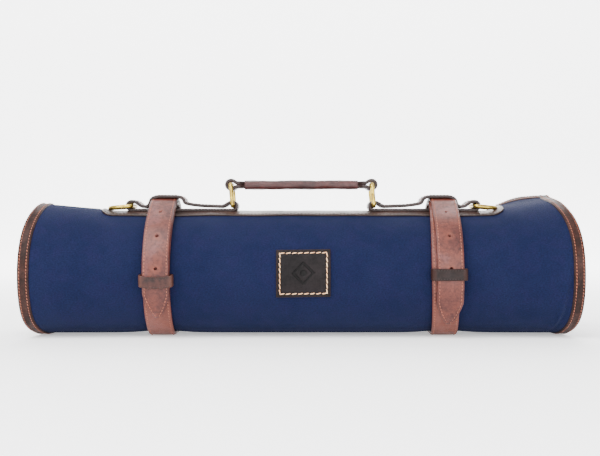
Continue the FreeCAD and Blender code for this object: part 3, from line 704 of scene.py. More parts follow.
@dataclass(frozen=True)
class ClothFinish:
    """Woven cotton with uneven dye."""

    name: str
    base: str
    warm: str
    cool: str
    pitch: float
    weave: Weave = Weave.PLAIN
    depth: float = 0.12 * MM
    fuzz: float = 0.05
    mottle: float = 1.0

    def material(self) -> Material:
        """Builds the material.

        Returns:
            Cloth whose threads follow the piece's flat map.
        """
        kit = ShaderKit(self.name)
        cut, body = kit.cut(), kit.body()
        scale = 0.5 / self.pitch
        if self.weave is Weave.PLAIN:
            warp = kit.band(cut, scale, "X")
            weft = kit.band(cut, scale, "Y")
            threads = kit.sum("MULTIPLY", warp, weft)
            threads = kit.sum("ADD", threads, kit.sum("MULTIPLY", kit.sum("MAXIMUM", warp, weft), 0.45))
        else:
            threads = kit.band(cut, scale, "DIAGONAL")
        fibre = kit.noise(kit.stretched(cut, (1.0, 5.0, 1.0)), 420.0, 3.0, 0.7)
        fibre_up = kit.noise(kit.stretched(cut, (5.0, 1.0, 1.0)), 300.0, 3.0, 0.7)
        cloud = kit.noise(body, 26.0, 5.0, 0.62)
        patch = kit.noise(body, 95.0, 4.0, 0.65, 0.4)
        tone = kit.mix(kit.spread(cloud, 0.36, 0.64), ink(self.cool), ink(self.base))
        warmth = kit.sum("MULTIPLY", kit.spread(patch, 0.42, 0.66), 0.55 * self.mottle)
        tone = kit.mix(warmth, tone, ink(self.warm))
        slub = kit.noise(kit.stretched(cut, (1.0, 1.6, 1.0)), 620.0, 3.0, 0.75)
        shade = kit.sum("ADD", kit.spread(fibre, 0.25, 0.75, 0.74, 1.2),
                        kit.spread(fibre_up, 0.25, 0.75, -0.12, 0.12))
        shade = kit.sum("ADD", shade, kit.spread(slub, 0.3, 0.7, -0.22, 0.24))
        shade = kit.sum("MULTIPLY", shade, kit.spread(threads, 0.1, 1.2, 0.86, 1.08))
        tone = kit.dimmed(tone, shade)
        bump = kit.relief(threads, self.depth, 0.7)
        bump = kit.relief(fibre, 0.10 * MM, 0.5, bump)
        rough = kit.spread(fibre, 0.2, 0.8, 0.78, 0.95)
        return kit.finish(tone, rough, bump, Sheen_Weight=self.fuzz, Sheen_Roughness=0.5,
                          Sheen_Tint=ink("#7f8fc0"), Specular_IOR_Level=0.08)


@dataclass(frozen=True)
class LeatherFinish:
    """Waxed leather that lightens where it is pulled, with darker cut edges, and on the bindings a painted
    shade along the groove.
    """

    name: str
    base: str
    deep: str
    sheen: str
    scuff: str
    rim: str
    rough: float = 0.46
    grain: float = 620.0
    grain_depth: float = 0.10 * MM
    cloud: float = 30.0
    scuffing: float = 0.5
    rim_share: float = 0.75
    wax: float = 0.12
    gloss: float = 0.3
    pressed: str = "#050404"

    def material(self) -> Material:
        """Builds the material.

        Returns:
            Leather with pull-up clouds, scuffs, pores and fine creases.
        """
        kit = ShaderKit(self.name)
        body = kit.body()
        cloud = kit.noise(body, self.cloud, 4.0, 0.6, 0.5)
        tone = kit.mix(kit.spread(cloud, 0.38, 0.52), ink(self.deep), ink(self.base))
        tone = kit.mix(kit.spread(cloud, 0.52, 0.64), tone, ink(self.sheen))
        speck = kit.noise(body, 330.0, 5.0, 0.72)
        worn = kit.noise(body, 70.0, 5.0, 0.7)
        scuffs = kit.sum("MULTIPLY", kit.spread(speck, 0.5, 0.72), kit.spread(worn, 0.42, 0.66))
        tone = kit.mix(kit.sum("MULTIPLY", scuffs, self.scuffing), tone, ink(self.scuff))
        tone = kit.dimmed(tone, kit.spread(speck, 0.32, 0.56, 0.55, 1.12))
        # The rim colour darkens cut edges; along a binding's groove it is painted shade.
        rim = kit.sum("MULTIPLY", kit.spread(kit.stored("rim"), 0.45, 1.0), self.rim_share)
        tone = kit.mix(rim, tone, ink(self.rim))
        wear = kit.stored("wear")
        tone = kit.mix(kit.sum("MULTIPLY", wear, 0.55), tone, ink(self.scuff))
        tone = kit.mix(kit.sum("MULTIPLY", kit.stored("pressed"), 0.85), tone, ink(self.pressed))
        cells = kit.spread(kit.cells(body, self.grain), 0.0, 0.16)
        bump = kit.relief(cells, self.grain_depth, 0.55)
        creases = kit.noise(kit.stretched(body, (1.0, 2.6, 2.6)), 160.0, 5.0, 0.68, 0.7)
        bump = kit.relief(creases, 0.55 * MM, 0.55, bump)
        rough = kit.sum("ADD", kit.spread(cloud, 0.3, 0.7, self.rough + 0.1, self.rough - 0.07),
                        kit.spread(speck, 0.3, 0.7, 0.08, -0.05))
        return kit.finish(tone, rough, bump, Specular_IOR_Level=self.gloss, Coat_Weight=self.wax,
                          Coat_Roughness=0.34)


@dataclass(frozen=True)
class BrassFinish:
    """Aged brass, brighter where it is rubbed."""

    name: str = "antique_brass"
    bright: str = "#d9bd55"
    dull: str = "#8d7434"
    dark: str = "#4a3a1c"

    def material(self) -> Material:
        """Builds the material.

        Returns:
            Metal with patches of tarnish and fine scratches.
        """
        kit = ShaderKit(self.name)
        body = kit.body()
        cloud = kit.noise(body, 120.0, 5.0, 0.62, 0.4)
        tone = kit.mix(kit.spread(cloud, 0.36, 0.6), ink(self.dull), ink(self.bright))
        pits = kit.noise(body, 620.0, 4.0, 0.7)
        tone = kit.mix(kit.spread(pits, 0.56, 0.74, 0.0, 0.7), tone, ink(self.dark))
        scratch = kit.noise(kit.stretched(body, (1.0, 7.0, 1.0), 0.6), 500.0, 3.0, 0.7)
        bump = kit.relief(scratch, 0.05 * MM, 0.4)
        bump = kit.relief(cloud, 0.25 * MM, 0.5, bump)
        rough = kit.sum("ADD", kit.spread(cloud, 0.3, 0.7, 0.36, 0.2), kit.spread(pits, 0.5, 0.75, 0.0, 0.2))
        return kit.finish(tone, rough, bump, Metallic=1.0)


@dataclass(frozen=True)
class ThreadFinish:
    """Waxed sewing thread."""

    name: str
    base: str
    shade: str

    def material(self) -> Material:
        """Builds the material.

        Returns:
            Thread with a fine twist.
        """
        kit = ShaderKit(self.name)
        body = kit.body()
        cloud = kit.noise(body, 240.0, 3.0, 0.6)
        twist = kit.band(kit.stretched(body, (1.0, 1.0, 1.0), 0.5), 520.0, "DIAGONAL")
        tone = kit.mix(kit.spread(cloud, 0.35, 0.65), ink(self.shade), ink(self.base))
        tone = kit.mix(kit.spread(twist, 0.0, 1.0, 0.25, 0.0), tone, ink(self.shade))
        bump = kit.relief(twist, 0.08 * MM, 0.6)
        return kit.finish(tone, kit.spread(cloud, 0.3, 0.7, 0.5, 0.65), bump, Specular_IOR_Level=0.35)


@dataclass(frozen=True)
class FeltFinish:
    """Pressed grey felt."""

    name: str = "grey_felt"
    base: str = "#8c8c90"
    fleck: str = "#6b6b70"

    def material(self) -> Material:
        """Builds the material.

        Returns:
            Felt with flecks and loose fibres.
        """
        kit = ShaderKit(self.name)
        body = kit.body()
        fleck = kit.noise(body, 700.0, 5.0, 0.75)
        tone = kit.mix(kit.spread(fleck, 0.42, 0.6), ink(self.base), ink(self.fleck))
        bump = kit.relief(fleck, 0.3 * MM, 0.8)
        return kit.finish(tone, kit.spread(fleck, 0.3, 0.7, 0.9, 0.98), bump, Specular_IOR_Level=0.15)


@dataclass(frozen=True)
class FloorFinish:
    """A pale studio floor that glows, dimmer near the roll as a painted soft shadow."""

    name: str = "studio_floor"
    base: str = "#fbfbfc"
    glow: float = 3.2
    painted_shadow_glow: float = 0.5
    near: float = 0.2
    far: float = 1.5

    def material(self) -> Material:
        """Builds the material.

        Returns:
            A matt floor with a barely visible tooth that glows white, dimmed near the roll as a painted soft
            shadow.
        """
        kit = ShaderKit(self.name)
        tooth = kit.noise(kit.body(), 300.0, 2.0)
        tone = kit.mix(kit.spread(tooth, 0.3, 0.7, 0.0, 0.01), ink(self.base), ink("#f0f0f2"))
        bump = kit.relief(tooth, 0.02 * MM, 0.2)
        away = kit.node("ShaderNodeVectorMath", {0: kit.body()}, operation="LENGTH").outputs["Value"]
        # The glow is weaker near the roll: a painted soft shadow round it.
        glow = kit.spread(away, self.near, self.far, self.painted_shadow_glow, self.glow)
        return kit.finish(tone, 0.75, bump, Specular_IOR_Level=0.2, Emission_Color=(1.0, 1.0, 1.0, 1.0),
                          Emission_Strength=glow)


def tailored(finish: Any) -> Any:
    """A field that holds the material of a finish, made with its wardrobe."""
    return field(default_factory=finish.material)


@dataclass
class Wardrobe:
    """Every finish of the case, made once."""

    canvas: Material = tailored(ClothFinish(
        "navy_canvas", "#121834", "#161736", "#0e1531", 0.55 * MM))
    flap_cloth: Material = tailored(ClothFinish(
        "navy_flap_canvas", "#10142d", "#131330", "#0d122a", 0.6 * MM))
    lining: Material = tailored(ClothFinish(
        "navy_lining", "#131a2f", "#161932", "#10172b", 0.45 * MM, Weave.TWILL, mottle=0.6))
    felt: Material = tailored(FeltFinish())
    strap: Material = tailored(LeatherFinish(
        "brown_leather", "#532217", "#401711", "#572b27", "#713727", "#441911", wax=0.18))
    binding: Material = tailored(LeatherFinish(
        "binding_leather", "#28120c", "#1b0c08", "#301a14", "#402016", "#210c07",
        rough=0.58, cloud=42.0, scuffing=0.7, rim_share=0.5, gloss=0.16, wax=0.04))
    band: Material = tailored(LeatherFinish(
        "band_leather", "#33201b", "#251713", "#402e27", "#473028", "#1e0e0b",
        rough=0.5, cloud=24.0, scuffing=0.4))
    tab: Material = tailored(LeatherFinish(
        "dark_leather", "#28130e", "#190c09", "#341e1a", "#44271f", "#1a0b08",
        rough=0.45, cloud=50.0))
    grip: Material = tailored(LeatherFinish(
        "grip_leather", "#381513", "#2a0f0e", "#401f1e", "#4f261e", "#260c0a",
        rough=0.44, cloud=45.0, wax=0.2))
    patch: Material = tailored(LeatherFinish(
        "patch_leather", "#110b0c", "#0c0809", "#140e10", "#181012", "#20100c",
        rough=0.5, cloud=34.0, scuffing=0.25, grain_depth=0.07 * MM, rim_share=0.9,
        gloss=0.12, wax=0.03))
    # A darker copy of the keeper leather, painted shade, worn by the right keeper.
    keeper: Material = tailored(LeatherFinish(
        "keeper_leather", "#180c0a", "#130a09", "#1c1211", "#2e150f", "#270c08",
        rough=0.48, cloud=60.0, rim_share=0.6, gloss=0.15, wax=0.05))
    brown_keeper: Material = tailored(LeatherFinish(
        "brown_keeper_leather", "#341a15", "#241310", "#472822", "#4c2a20", "#2e170f",
        rough=0.46, cloud=60.0, rim_share=0.5, gloss=0.22, wax=0.08))
    brass: Material = tailored(BrassFinish())
    tonal_thread: Material = tailored(ThreadFinish(
        "tonal_thread", "#a15d45", "#794232"))
    dark_thread: Material = tailored(ThreadFinish(
        "dark_thread", "#291b18", "#1b120f"))
    cream_thread: Material = tailored(ThreadFinish(
        "cream_thread", "#ebc69b", "#d29d72"))


def dress(piece: Piece, material: Material, slot: Slot, body: str) -> Piece:
    """Gives a piece its material and body.

    Args:
        piece: The finished piece.
        material: Its only material.
        slot: Not used.
        body: The body it moves with.

    Returns:
        The piece.
    """
    if piece.data.attributes.get("wear") is None:
        write_points(piece, "wear", np.zeros(len(piece.data.vertices)))
    piece.data.materials.clear()
    piece.data.materials.append(material)
    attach(piece, body)
    LOG.info("%s: %d faces on %s", piece.name, len(piece.data.polygons), body)
    return piece


# ----------------------------------------------------------------- stitches


@dataclass(frozen=True)
class StitchStyle:
    """The size and manner of a row of stitches."""

    pitch: float = 3.2 * MM
    length: float = 2.3 * MM
    thread: float = 0.26 * MM
    slant: float = 0.0
    wander: float = 0.05
    seed: int = 3


class StitchTree:
    """A node tree that sews stitches along lines that carry the surface's outward direction."""

    NAME = "sewn_stitches"
    SIZES = (("Pitch", 3.2 * MM), ("Stitch Length", 2.3 * MM), ("Thread Radius", 0.26 * MM), ("Slant", 0.0),
             ("Wander", 0.05))

    def __init__(self) -> None:
        """Builds the tree once."""
        self.tree = bpy.data.node_groups.new(self.NAME, "GeometryNodeTree")
        face = self.tree.interface
        face.new_socket("Geometry", in_out="INPUT", socket_type="NodeSocketGeometry")
        for name, value in self.SIZES:
            face.new_socket(name, in_out="INPUT", socket_type="NodeSocketFloat").default_value = value
        face.new_socket("Seed", in_out="INPUT", socket_type="NodeSocketInt")
        face.new_socket("Thread", in_out="INPUT", socket_type="NodeSocketMaterial")
        face.new_socket("Geometry", in_out="OUTPUT", socket_type="NodeSocketGeometry")
        self._wire()

    def _node(self, kind: str, values: Optional[dict[Any, Any]] = None, **settings: Any) -> bpy.types.Node:
        """Adds a node.

        Args:
            kind: Its type.
            values: What its inputs get: a socket to link or a constant.
            settings: Its properties.

        Returns:
            The node.
        """
        made = self.tree.nodes.new(kind)
        for key, value in settings.items():
            setattr(made, key, value)
        for key, value in (values or {}).items():
            if isinstance(value, Socket):
                self.tree.links.new(value, made.inputs[key])
            else:
                made.inputs[key].default_value = value
        return made

    def _math(self, operation: str, a: Any, b: Any) -> Socket:
        """A sum on two numbers."""
        return self._node("ShaderNodeMath", {0: a, 1: b}, operation=operation).outputs[0]

    def _point(self, x: Any, y: Any, z: Any) -> Socket:
        """A point from three numbers."""
        return self._node("ShaderNodeCombineXYZ", {0: x, 1: y, 2: z}).outputs[0]

    def _wire(self) -> None:
        """Joins the nodes: a bowed thread at each station of every line."""
        given = self._node("NodeGroupInput").outputs
        curve = self._node("GeometryNodeMeshToCurve", {"Mesh": given["Geometry"]}).outputs[0]
        line = self._node("GeometryNodeResampleCurve", {"Curve": curve, "Length": given["Pitch"]},
                          mode="LENGTH").outputs[0]
        radius = given["Thread Radius"]
        reach = self._math("MULTIPLY", given["Stitch Length"], 0.5)
        sunk = self._math("MULTIPLY", radius, -1.1)
        raised = self._math("MULTIPLY", radius, 2.1)
        bow = self._node("GeometryNodeCurveQuadraticBezier", {
            "Resolution": 4,
            "Start": self._point(self._math("MULTIPLY", reach, -1.0), 0.0, sunk),
            "Middle": self._point(0.0, 0.0, raised),
            "End": self._point(reach, 0.0, sunk),
        }).outputs[0]
        ring = self._node("GeometryNodeCurvePrimitiveCircle", {"Resolution": 6, "Radius": radius}).outputs[0]
        stitch = self._node("GeometryNodeCurveToMesh",
                            {"Curve": bow, "Profile Curve": ring, "Fill Caps": True}).outputs[0]
        out = self._node("GeometryNodeInputNamedAttribute", {"Name": "out"},
                         data_type="FLOAT_VECTOR").outputs[0]
        tangent = self._node("GeometryNodeInputTangent").outputs[0]
        upright = self._node("FunctionNodeAxesToRotation", {"Primary Axis": out, "Secondary Axis": tangent},
                             primary_axis="Z", secondary_axis="X").outputs[0]
        low = self._math("MULTIPLY", given["Wander"], -1.0)
        drawn = self._node("FunctionNodeRandomValue", {"Seed": given["Seed"]}, data_type="FLOAT")
        for key, value in (("Min", low), ("Max", given["Wander"])):
            self.tree.links.new(value, next(i for i in drawn.inputs if i.enabled and i.name == key))
        number = next(o for o in drawn.outputs if o.enabled)
        angle = self._math("ADD", given["Slant"], number)
        lean = self._node("FunctionNodeEulerToRotation", {0: self._point(0.0, 0.0, angle)}).outputs[0]
        turned = self._node("FunctionNodeRotateRotation", {0: upright, 1: lean},
                            rotation_space="LOCAL").outputs[0]
        sewn = self._node("GeometryNodeInstanceOnPoints", {
            "Points": line, "Instance": stitch, "Rotation": turned}).outputs[0]
        real = self._node("GeometryNodeRealizeInstances", {0: sewn}).outputs[0]
        smooth = self._node("GeometryNodeSetShadeSmooth", {0: real}).outputs[0]
        dyed = self._node("GeometryNodeSetMaterial",
                          {"Geometry": smooth, "Material": given["Thread"]}).outputs[0]
        done = self._node("NodeGroupOutput")
        self.tree.links.new(dyed, done.inputs[0])

    def sew(self, name: str, rows: Sequence[tuple[Array, Array]], style: StitchStyle,
            thread: Material) -> Piece:
        """Sews stitches along rows.

        Args:
            name: The name of the row's object.
            rows: For each row its points (N, 3) and outward directions (N, 3).
            style: The stitches' sizes.
            thread: The thread's material.

        Returns:
            A plain mesh of stitches.
        """
        mesh = bpy.data.meshes.new(name + "_line")
        points = np.concatenate([r[0] for r in rows])
        outward = np.concatenate([r[1] for r in rows])
        edges, start = [], 0
        for row, _ in rows:
            edges += [(start + k, start + k + 1) for k in range(len(row) - 1)]
            start += len(row)
        mesh.from_pydata([tuple(p) for p in points], edges, [])
        layer = mesh.attributes.new("out", "FLOAT_VECTOR", "POINT")
        layer.data.foreach_set("vector", outward.astype(np.float32).ravel())
        made = bpy.data.objects.new(name, mesh)
        bpy.context.scene.collection.objects.link(made)
        change = made.modifiers.new("sew", "NODES")
        change.node_group = self.tree
        values = {"Pitch": style.pitch, "Stitch Length": style.length, "Thread Radius": style.thread,
                  "Slant": style.slant, "Wander": style.wander, "Seed": style.seed, "Thread": thread}
        for item in self.tree.interface.items_tree:
            if item.in_out == "INPUT" and item.name in values:
                change[item.identifier] = values[item.name]
        settle(made)
        return made

    def sew_on(self, name: str, rows: Sequence[tuple[Array, Array]], style: StitchStyle,
               thread: Material, slot: Slot, body: str = "case") -> None:
        """Sews stitches and gives them their material and body."""
        dress(self.sew(name, rows, style, thread), thread, slot, body)


def row_on(place: Place, along: Array, across: Array, up: float) -> tuple[Array, Array]:
    """A stitch line on a placed surface.

    Args:
        place: Turns distances along, across and up into points.
        along: Distances along.
        across: Distances across.
        up: The height of the surface.

    Returns:
        Its points and the outward direction at each.
    """
    along, across = np.broadcast_arrays(np.asarray(along, float), np.asarray(across, float))
    level = np.full(along.shape, up)
    low, high = place(along, across, level), place(along, across, level + 1 * MM)
    outward = high - low
    return low, outward / np.linalg.norm(outward, axis=-1, keepdims=True)


# ----------------------------------------------------------------- the roll


def section_point(radius: float, angle: float) -> tuple[float, float]:
    """A point about the roll's axis, from its radius and section angle."""
    turn = math.radians(angle)
    return (radius * math.cos(turn), radius * math.sin(turn))


def flat_turn(path: SectionPath, radius: float, depth: float, start: float, end: float,
              bend: float) -> SectionPath:
    """Follows a circle about the roll's axis, with a flat underside.

    Args:
        path: The run to go on with.
        radius: The circle's radius.
        depth: How far below the axis the underside lies.
        start: The section angle to start from.
        end: The section angle to end at.
        bend: The radius of the bends beside the flat.

    Returns:
        The run.
    """
    half = math.sqrt((radius - bend) ** 2 - (depth - bend) ** 2)
    easing = math.degrees(math.atan2(half, depth - bend))
    path.arc(radius, 270 - easing - start).arc(bend, easing).line(2 * half)
    return path.arc(bend, easing).arc(radius, end - 270 - easing)


def middle_x(node: str) -> float:
    """The middle of a part along the roll."""
    low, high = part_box(node)
    return (low.x + high.x) / 2


@dataclass(frozen=True)
class Fold:
    """A soft fold down the front: its place on the roll, its lean to a degree and its height."""

    where: float
    lean: float
    height: float


@dataclass
class RollShape:
    """The surface of the rolled sheet: where a point of the flat sheet lies when it is rolled up.

    Pairs of sizes are for the left and the right end.
    """

    radius: float = 58.5 * MM
    sag: float = 2.5 * MM
    base_bend: float = 30 * MM
    seam: float = 54.0
    drop: float = 6.8 * MM
    joggle: float = 42.0
    turns: int = 2
    last_sweep: float = 182.0
    half_length: float = 255 * MM
    strap_x: tuple[float, float] = (-132.8 * MM, 137.2 * MM)
    shift_start: float = 165 * MM
    shift_run: float = 85 * MM
    end_bulge: tuple[float, float] = (5.2 * MM, 6.0 * MM)
    top_tuck: tuple[float, float] = (0.5 * MM, 4.5 * MM)
    foot_tuck: tuple[float, float] = (5.0 * MM, 1.5 * MM)
    top_flare: tuple[float, float] = (8.2 * MM, 11.5 * MM)
    flare_steps: tuple[tuple[float, float, float], ...] = (
        (0.42, 181 * MM, 19 * MM), (0.58, 186 * MM, 72 * MM))
    crown_angle: float = 84.0
    crown_reach: float = 40.0
    side_flare: float = 4.2 * MM
    side_start: float = 160 * MM
    side_run: float = 95 * MM
    belly: float = 1.3 * MM
    rest: float = 1.9 * MM
    edge_lift: float = 21 * MM
    edge_span: float = 44 * MM
    lift_start: float = 151 * MM
    lift_run: float = 76 * MM
    lift_power: float = 2.2
    crease: float = 1.7 * MM
    crease_x: float = 238 * MM
    crease_lean: float = -0.13 * MM
    crease_gap: float = 4.2 * MM
    folds: tuple[Fold, ...] = (
        Fold(-108 * MM, 0.10 * MM, 0.35 * MM), Fold(-156 * MM, -0.13 * MM, 0.4 * MM),
        Fold(112 * MM, 0.12 * MM, 0.35 * MM), Fold(163 * MM, -0.10 * MM, 0.4 * MM),
        Fold(-228 * MM, 0.16 * MM, 0.45 * MM))
    fold_width: float = 4.5 * MM
    wobble: float = 0.45 * MM
    wobble_pitch: float = 75 * MM
    wobble_turn: float = 70.0
    hold: float = 24 * MM
    squeeze: float = 0.25 * MM

    def __post_init__(self) -> None:
        """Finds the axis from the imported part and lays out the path."""
        low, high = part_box("outer_canvas")
        self.axis_y = (low.y + high.y) / 2
        self.axis_z = high.z - self.radius
        path = SectionPath(section_point(self.radius, self.seam), self.seam + 90)
        radius, depth = self.radius, self.radius - self.sag
        for _ in range(self.turns):
            flat_turn(path, radius, depth, self.seam, self.seam + 360 - self.joggle, self.base_bend)
            radius -= self.drop
            depth -= self.drop
            path.reach(section_point(radius, self.seam), self.seam + 90)
        path.arc(radius, self.last_sweep)
        self.track = Track(path)

    @property
    def length(self) -> float:
        """The sheet's length from its outer edge to its inner end."""
        return self.track.length

    def angle_to_length(self, angle: float) -> float:
        """The distance from the outer edge to a section angle on the first quarter turns."""
        return math.radians(angle - self.seam) * self.radius

    def swell(self, x: Array, theta: Array) -> Array:
        """How far the cloth stands out beyond its strapped radius.

        Args:
            x: Places along the roll.
            theta: Section angles, in degrees.

        Returns:
            Distances outwards.
        """
        side = np.where(x < 0, 0, 1)
        a = np.abs(x)
        top = hump(turn_between(theta, self.crown_angle), 0.0, self.crown_reach)
        free = ease((np.abs(turn_between(theta, 270.0)) - 12.0) / 46.0)
        end = sum(share * ease((a - start) / run) for share, start, run in self.flare_steps)
        end_side = ease((a - self.side_start) / self.side_run)
        flare = np.array(self.top_flare)[side] * top * end + self.side_flare * (1 - top) * end_side
        tied = np.maximum(hump(x, self.strap_x[0], self.hold), hump(x, self.strap_x[1], self.hold))
        full = self.belly * (1 - top) * (1 - tied)
        wobble = self.wobble * ripple(x / self.wobble_pitch, theta / self.wobble_turn, 11)
        wobble = wobble * (1 - tied) * (1 - 0.85 * top * (a < 200 * MM))
        lying = self.rest * hump(turn_between(theta, 270.0), 0.0, 62.0) * (1 - tied)
        return (flare + full + wobble) * free + lying + self._creases(x, theta) * free - self.squeeze * tied

    def lift(self, x: Array, s: Array) -> Array:
        """How far the sheet's loose outer edge rises off the roll beside its right end."""
        left = np.clip(1 - s / self.edge_span, 0.0, 1.2)
        return self.edge_lift * left**self.lift_power * ease((x - self.lift_start) / self.lift_run)

    def _creases(self, x: Array, theta: Array) -> Array:
        """Small folds: one beside the right binding and a few beside the straps.

        Args:
            x: Places along the roll.
            theta: Section angles, in degrees.

        Returns:
            Heights.
        """
        low = ease((theta - 150.0) / 40.0) * ease((266.0 - theta) / 12.0)
        line = self.crease_x + (theta - 190.0) * self.crease_lean
        valley = 0.7 * hump(x, line + self.crease_gap, 2.4 * MM)
        total = self.crease * low * (hump(x, line, 2.1 * MM) - valley)
        span = hump(turn_between(theta, 176.0), 0.0, 44.0)
        for fold in self.folds:
            line = fold.where + fold.lean * (theta - 180.0)
            total = total + fold.height * span * hump(x, line, self.fold_width)
        return total

    def end_shift(self, x: Array, theta: Array) -> Array:
        """How far the ends lean out in front and in at the top and foot.

        Args:
            x: Places along the roll.
            theta: Section angles, in degrees.

        Returns:
            Distances along the roll.
        """
        side = np.where(x < 0, 0, 1)
        front = np.exp(-((turn_between(theta, 180.0) / 66.0) ** 4))
        top = hump(turn_between(theta, 88.0), 0.0, 36.0)
        foot = hump(turn_between(theta, 268.0), 0.0, 26.0)
        shift = np.array(self.end_bulge)[side] * front - np.array(self.top_tuck)[side] * top
        shift = shift - np.array(self.foot_tuck)[side] * foot
        return np.sign(x) * shift * ease((np.abs(x) - self.shift_start) / self.shift_run)

    def place(self, x: Array, s: Array, up: Array) -> Array:
        """Points of the rolled sheet.

        Args:
            x: Places across the sheet, along the roll.
            s: Distances from the sheet's outer edge.
            up: Heights above its outer face.

        Returns:
            The points, in the frame of the parts.
        """
        x, s, up = np.broadcast_arrays(x, s, up)
        y, z, inward_y, inward_z = self.track.read(s)
        theta = np.degrees(np.arctan2(z, y)) % 360.0
        out = np.hypot(y, z)
        swell = self.swell(x, theta)
        shifted = x + self.end_shift(x, theta)
        y = y * (1 + swell / out) - up * inward_y
        z = z * (1 + swell / out) - up * inward_z
        return np.stack([shifted, y + self.axis_y, z + self.axis_z + self.lift(x, s)], -1)


def stations(span: tuple[float, float], count: int) -> Array:
    """Places along the roll, closer together beside its ends.

    Args:
        span: The first and last place.
        count: How many steps there are between them.

    Returns:
        The places.
    """
    fine = np.linspace(-260 * MM, 260 * MM, 2081)
    density = 1 + 2.2 * ease((np.abs(fine) - 205 * MM) / (25 * MM))
    share = np.cumsum(density)
    low, high = np.interp(span, fine, share)
    inside = np.interp(np.linspace(low, high, count + 1), share, fine)
    inside[0], inside[-1] = span
    return inside


@dataclass
class RolledSheet:
    """The layers of the sheet, its pockets and its flap."""

    shape: RollShape
    wardrobe: Wardrobe
    canvas: float = 1.6 * MM
    felt: float = 1.4 * MM
    lining: float = 1.0 * MM
    pocket: float = 1.4 * MM
    flap: float = 1.2 * MM
    half: float = 254 * MM
    inner_half: float = 243.5 * MM
    pocket_edge: float = 10 * MM
    flap_edge: float = 95 * MM
    first: float = 70 * MM
    spare: float = 24 * MM

    def layer(self, name: str, depth: float, thick: float, span: tuple[float, float],
              run: tuple[float, float], cells: tuple[int, int]) -> Piece:
        """One sheet of cloth, closed all round.

        Args:
            name: Its name.
            depth: The depth of its outer face below the roll's surface.
            thick: Its thickness.
            span: Where it starts and ends along the roll.
            run: Where it starts and ends along the rolled path.
            cells: How many cells it has along the roll and along the path.

        Returns:
            The object.
        """
        x = stations(span, cells[0])
        outer_turn = min(2 * math.pi * self.shape.radius, run[1])
        most = int(cells[1] * 0.7)
        s = np.concatenate([np.linspace(run[0], outer_turn, most + 1),
                            np.linspace(outer_turn, run[1], cells[1] - most + 1)[1:]])
        grid_x, grid_s = np.meshgrid(x, s)
        outer = self.shape.place(grid_x, grid_s, np.full(grid_x.shape, -depth))
        inner = self.shape.place(grid_x, grid_s, np.full(grid_x.shape, -depth - thick))
        points = np.concatenate([outer.reshape(-1, 3), inner.reshape(-1, 3)])
        rows, cols = grid_x.shape
        index = np.arange(rows * cols).reshape(rows, cols)
        other = index + rows * cols
        a, b, c, d = index[:-1, :-1], index[:-1, 1:], index[1:, 1:], index[1:, :-1]
        faces = np.stack([a, b, c, d], -1).reshape(-1, 4).tolist()
        faces += (np.stack([a, d, c, b], -1) + rows * cols).reshape(-1, 4).tolist()
        for edge, back in ((index[0], other[0]), (index[-1], other[-1]), (index[:, 0], other[:, 0]),
                           (index[:, -1], other[:, -1])):
            faces += [(edge[k], edge[k + 1], back[k + 1], back[k]) for k in range(len(edge) - 1)]
        made = new_mesh(name, points, faces)
        write_map(made, np.concatenate([grid_x.ravel()] * 2), np.concatenate([grid_s.ravel()] * 2))
        write_points(made, "rim", np.zeros(len(points)))
        face_outwards(made)
        return made

    def build(self) -> None:
        """Builds and dresses every layer."""
        whole = (0.0, self.shape.length)
        part = (self.first, self.shape.length - self.spare)
        both = (-self.half, self.half)
        w = self.wardrobe
        face = self.canvas + self.felt
        inside = face + self.lining
        rows = (
            ("canvas_cover", "outer_canvas", 0.0, self.canvas, both, whole,
             (176, 190), w.canvas, Slot.CANVAS),
            ("felt_padding", "padding_felt", self.canvas, self.felt, both, whole,
             (60, 160), w.felt, Slot.FELT),
            ("lining_cloth", "cotton_lining", face, self.lining, both, whole,
             (60, 160), w.lining, Slot.LINING),
            ("pocket_cloth", "brush_pockets", inside, self.pocket, (-self.inner_half, self.pocket_edge), part,
             (40, 140), w.lining, Slot.LINING),
            ("flap_cloth", "brush_flap", inside, self.flap, (self.flap_edge, self.inner_half), part,
             (24, 140), w.flap_cloth, Slot.CANVAS),
        )
        for name, node, depth, thick, span, run, cells, material, slot in rows:
            made = self.layer(name, depth, thick, span, run, cells)
            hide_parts(node)
            dress(made, material, slot, "case")


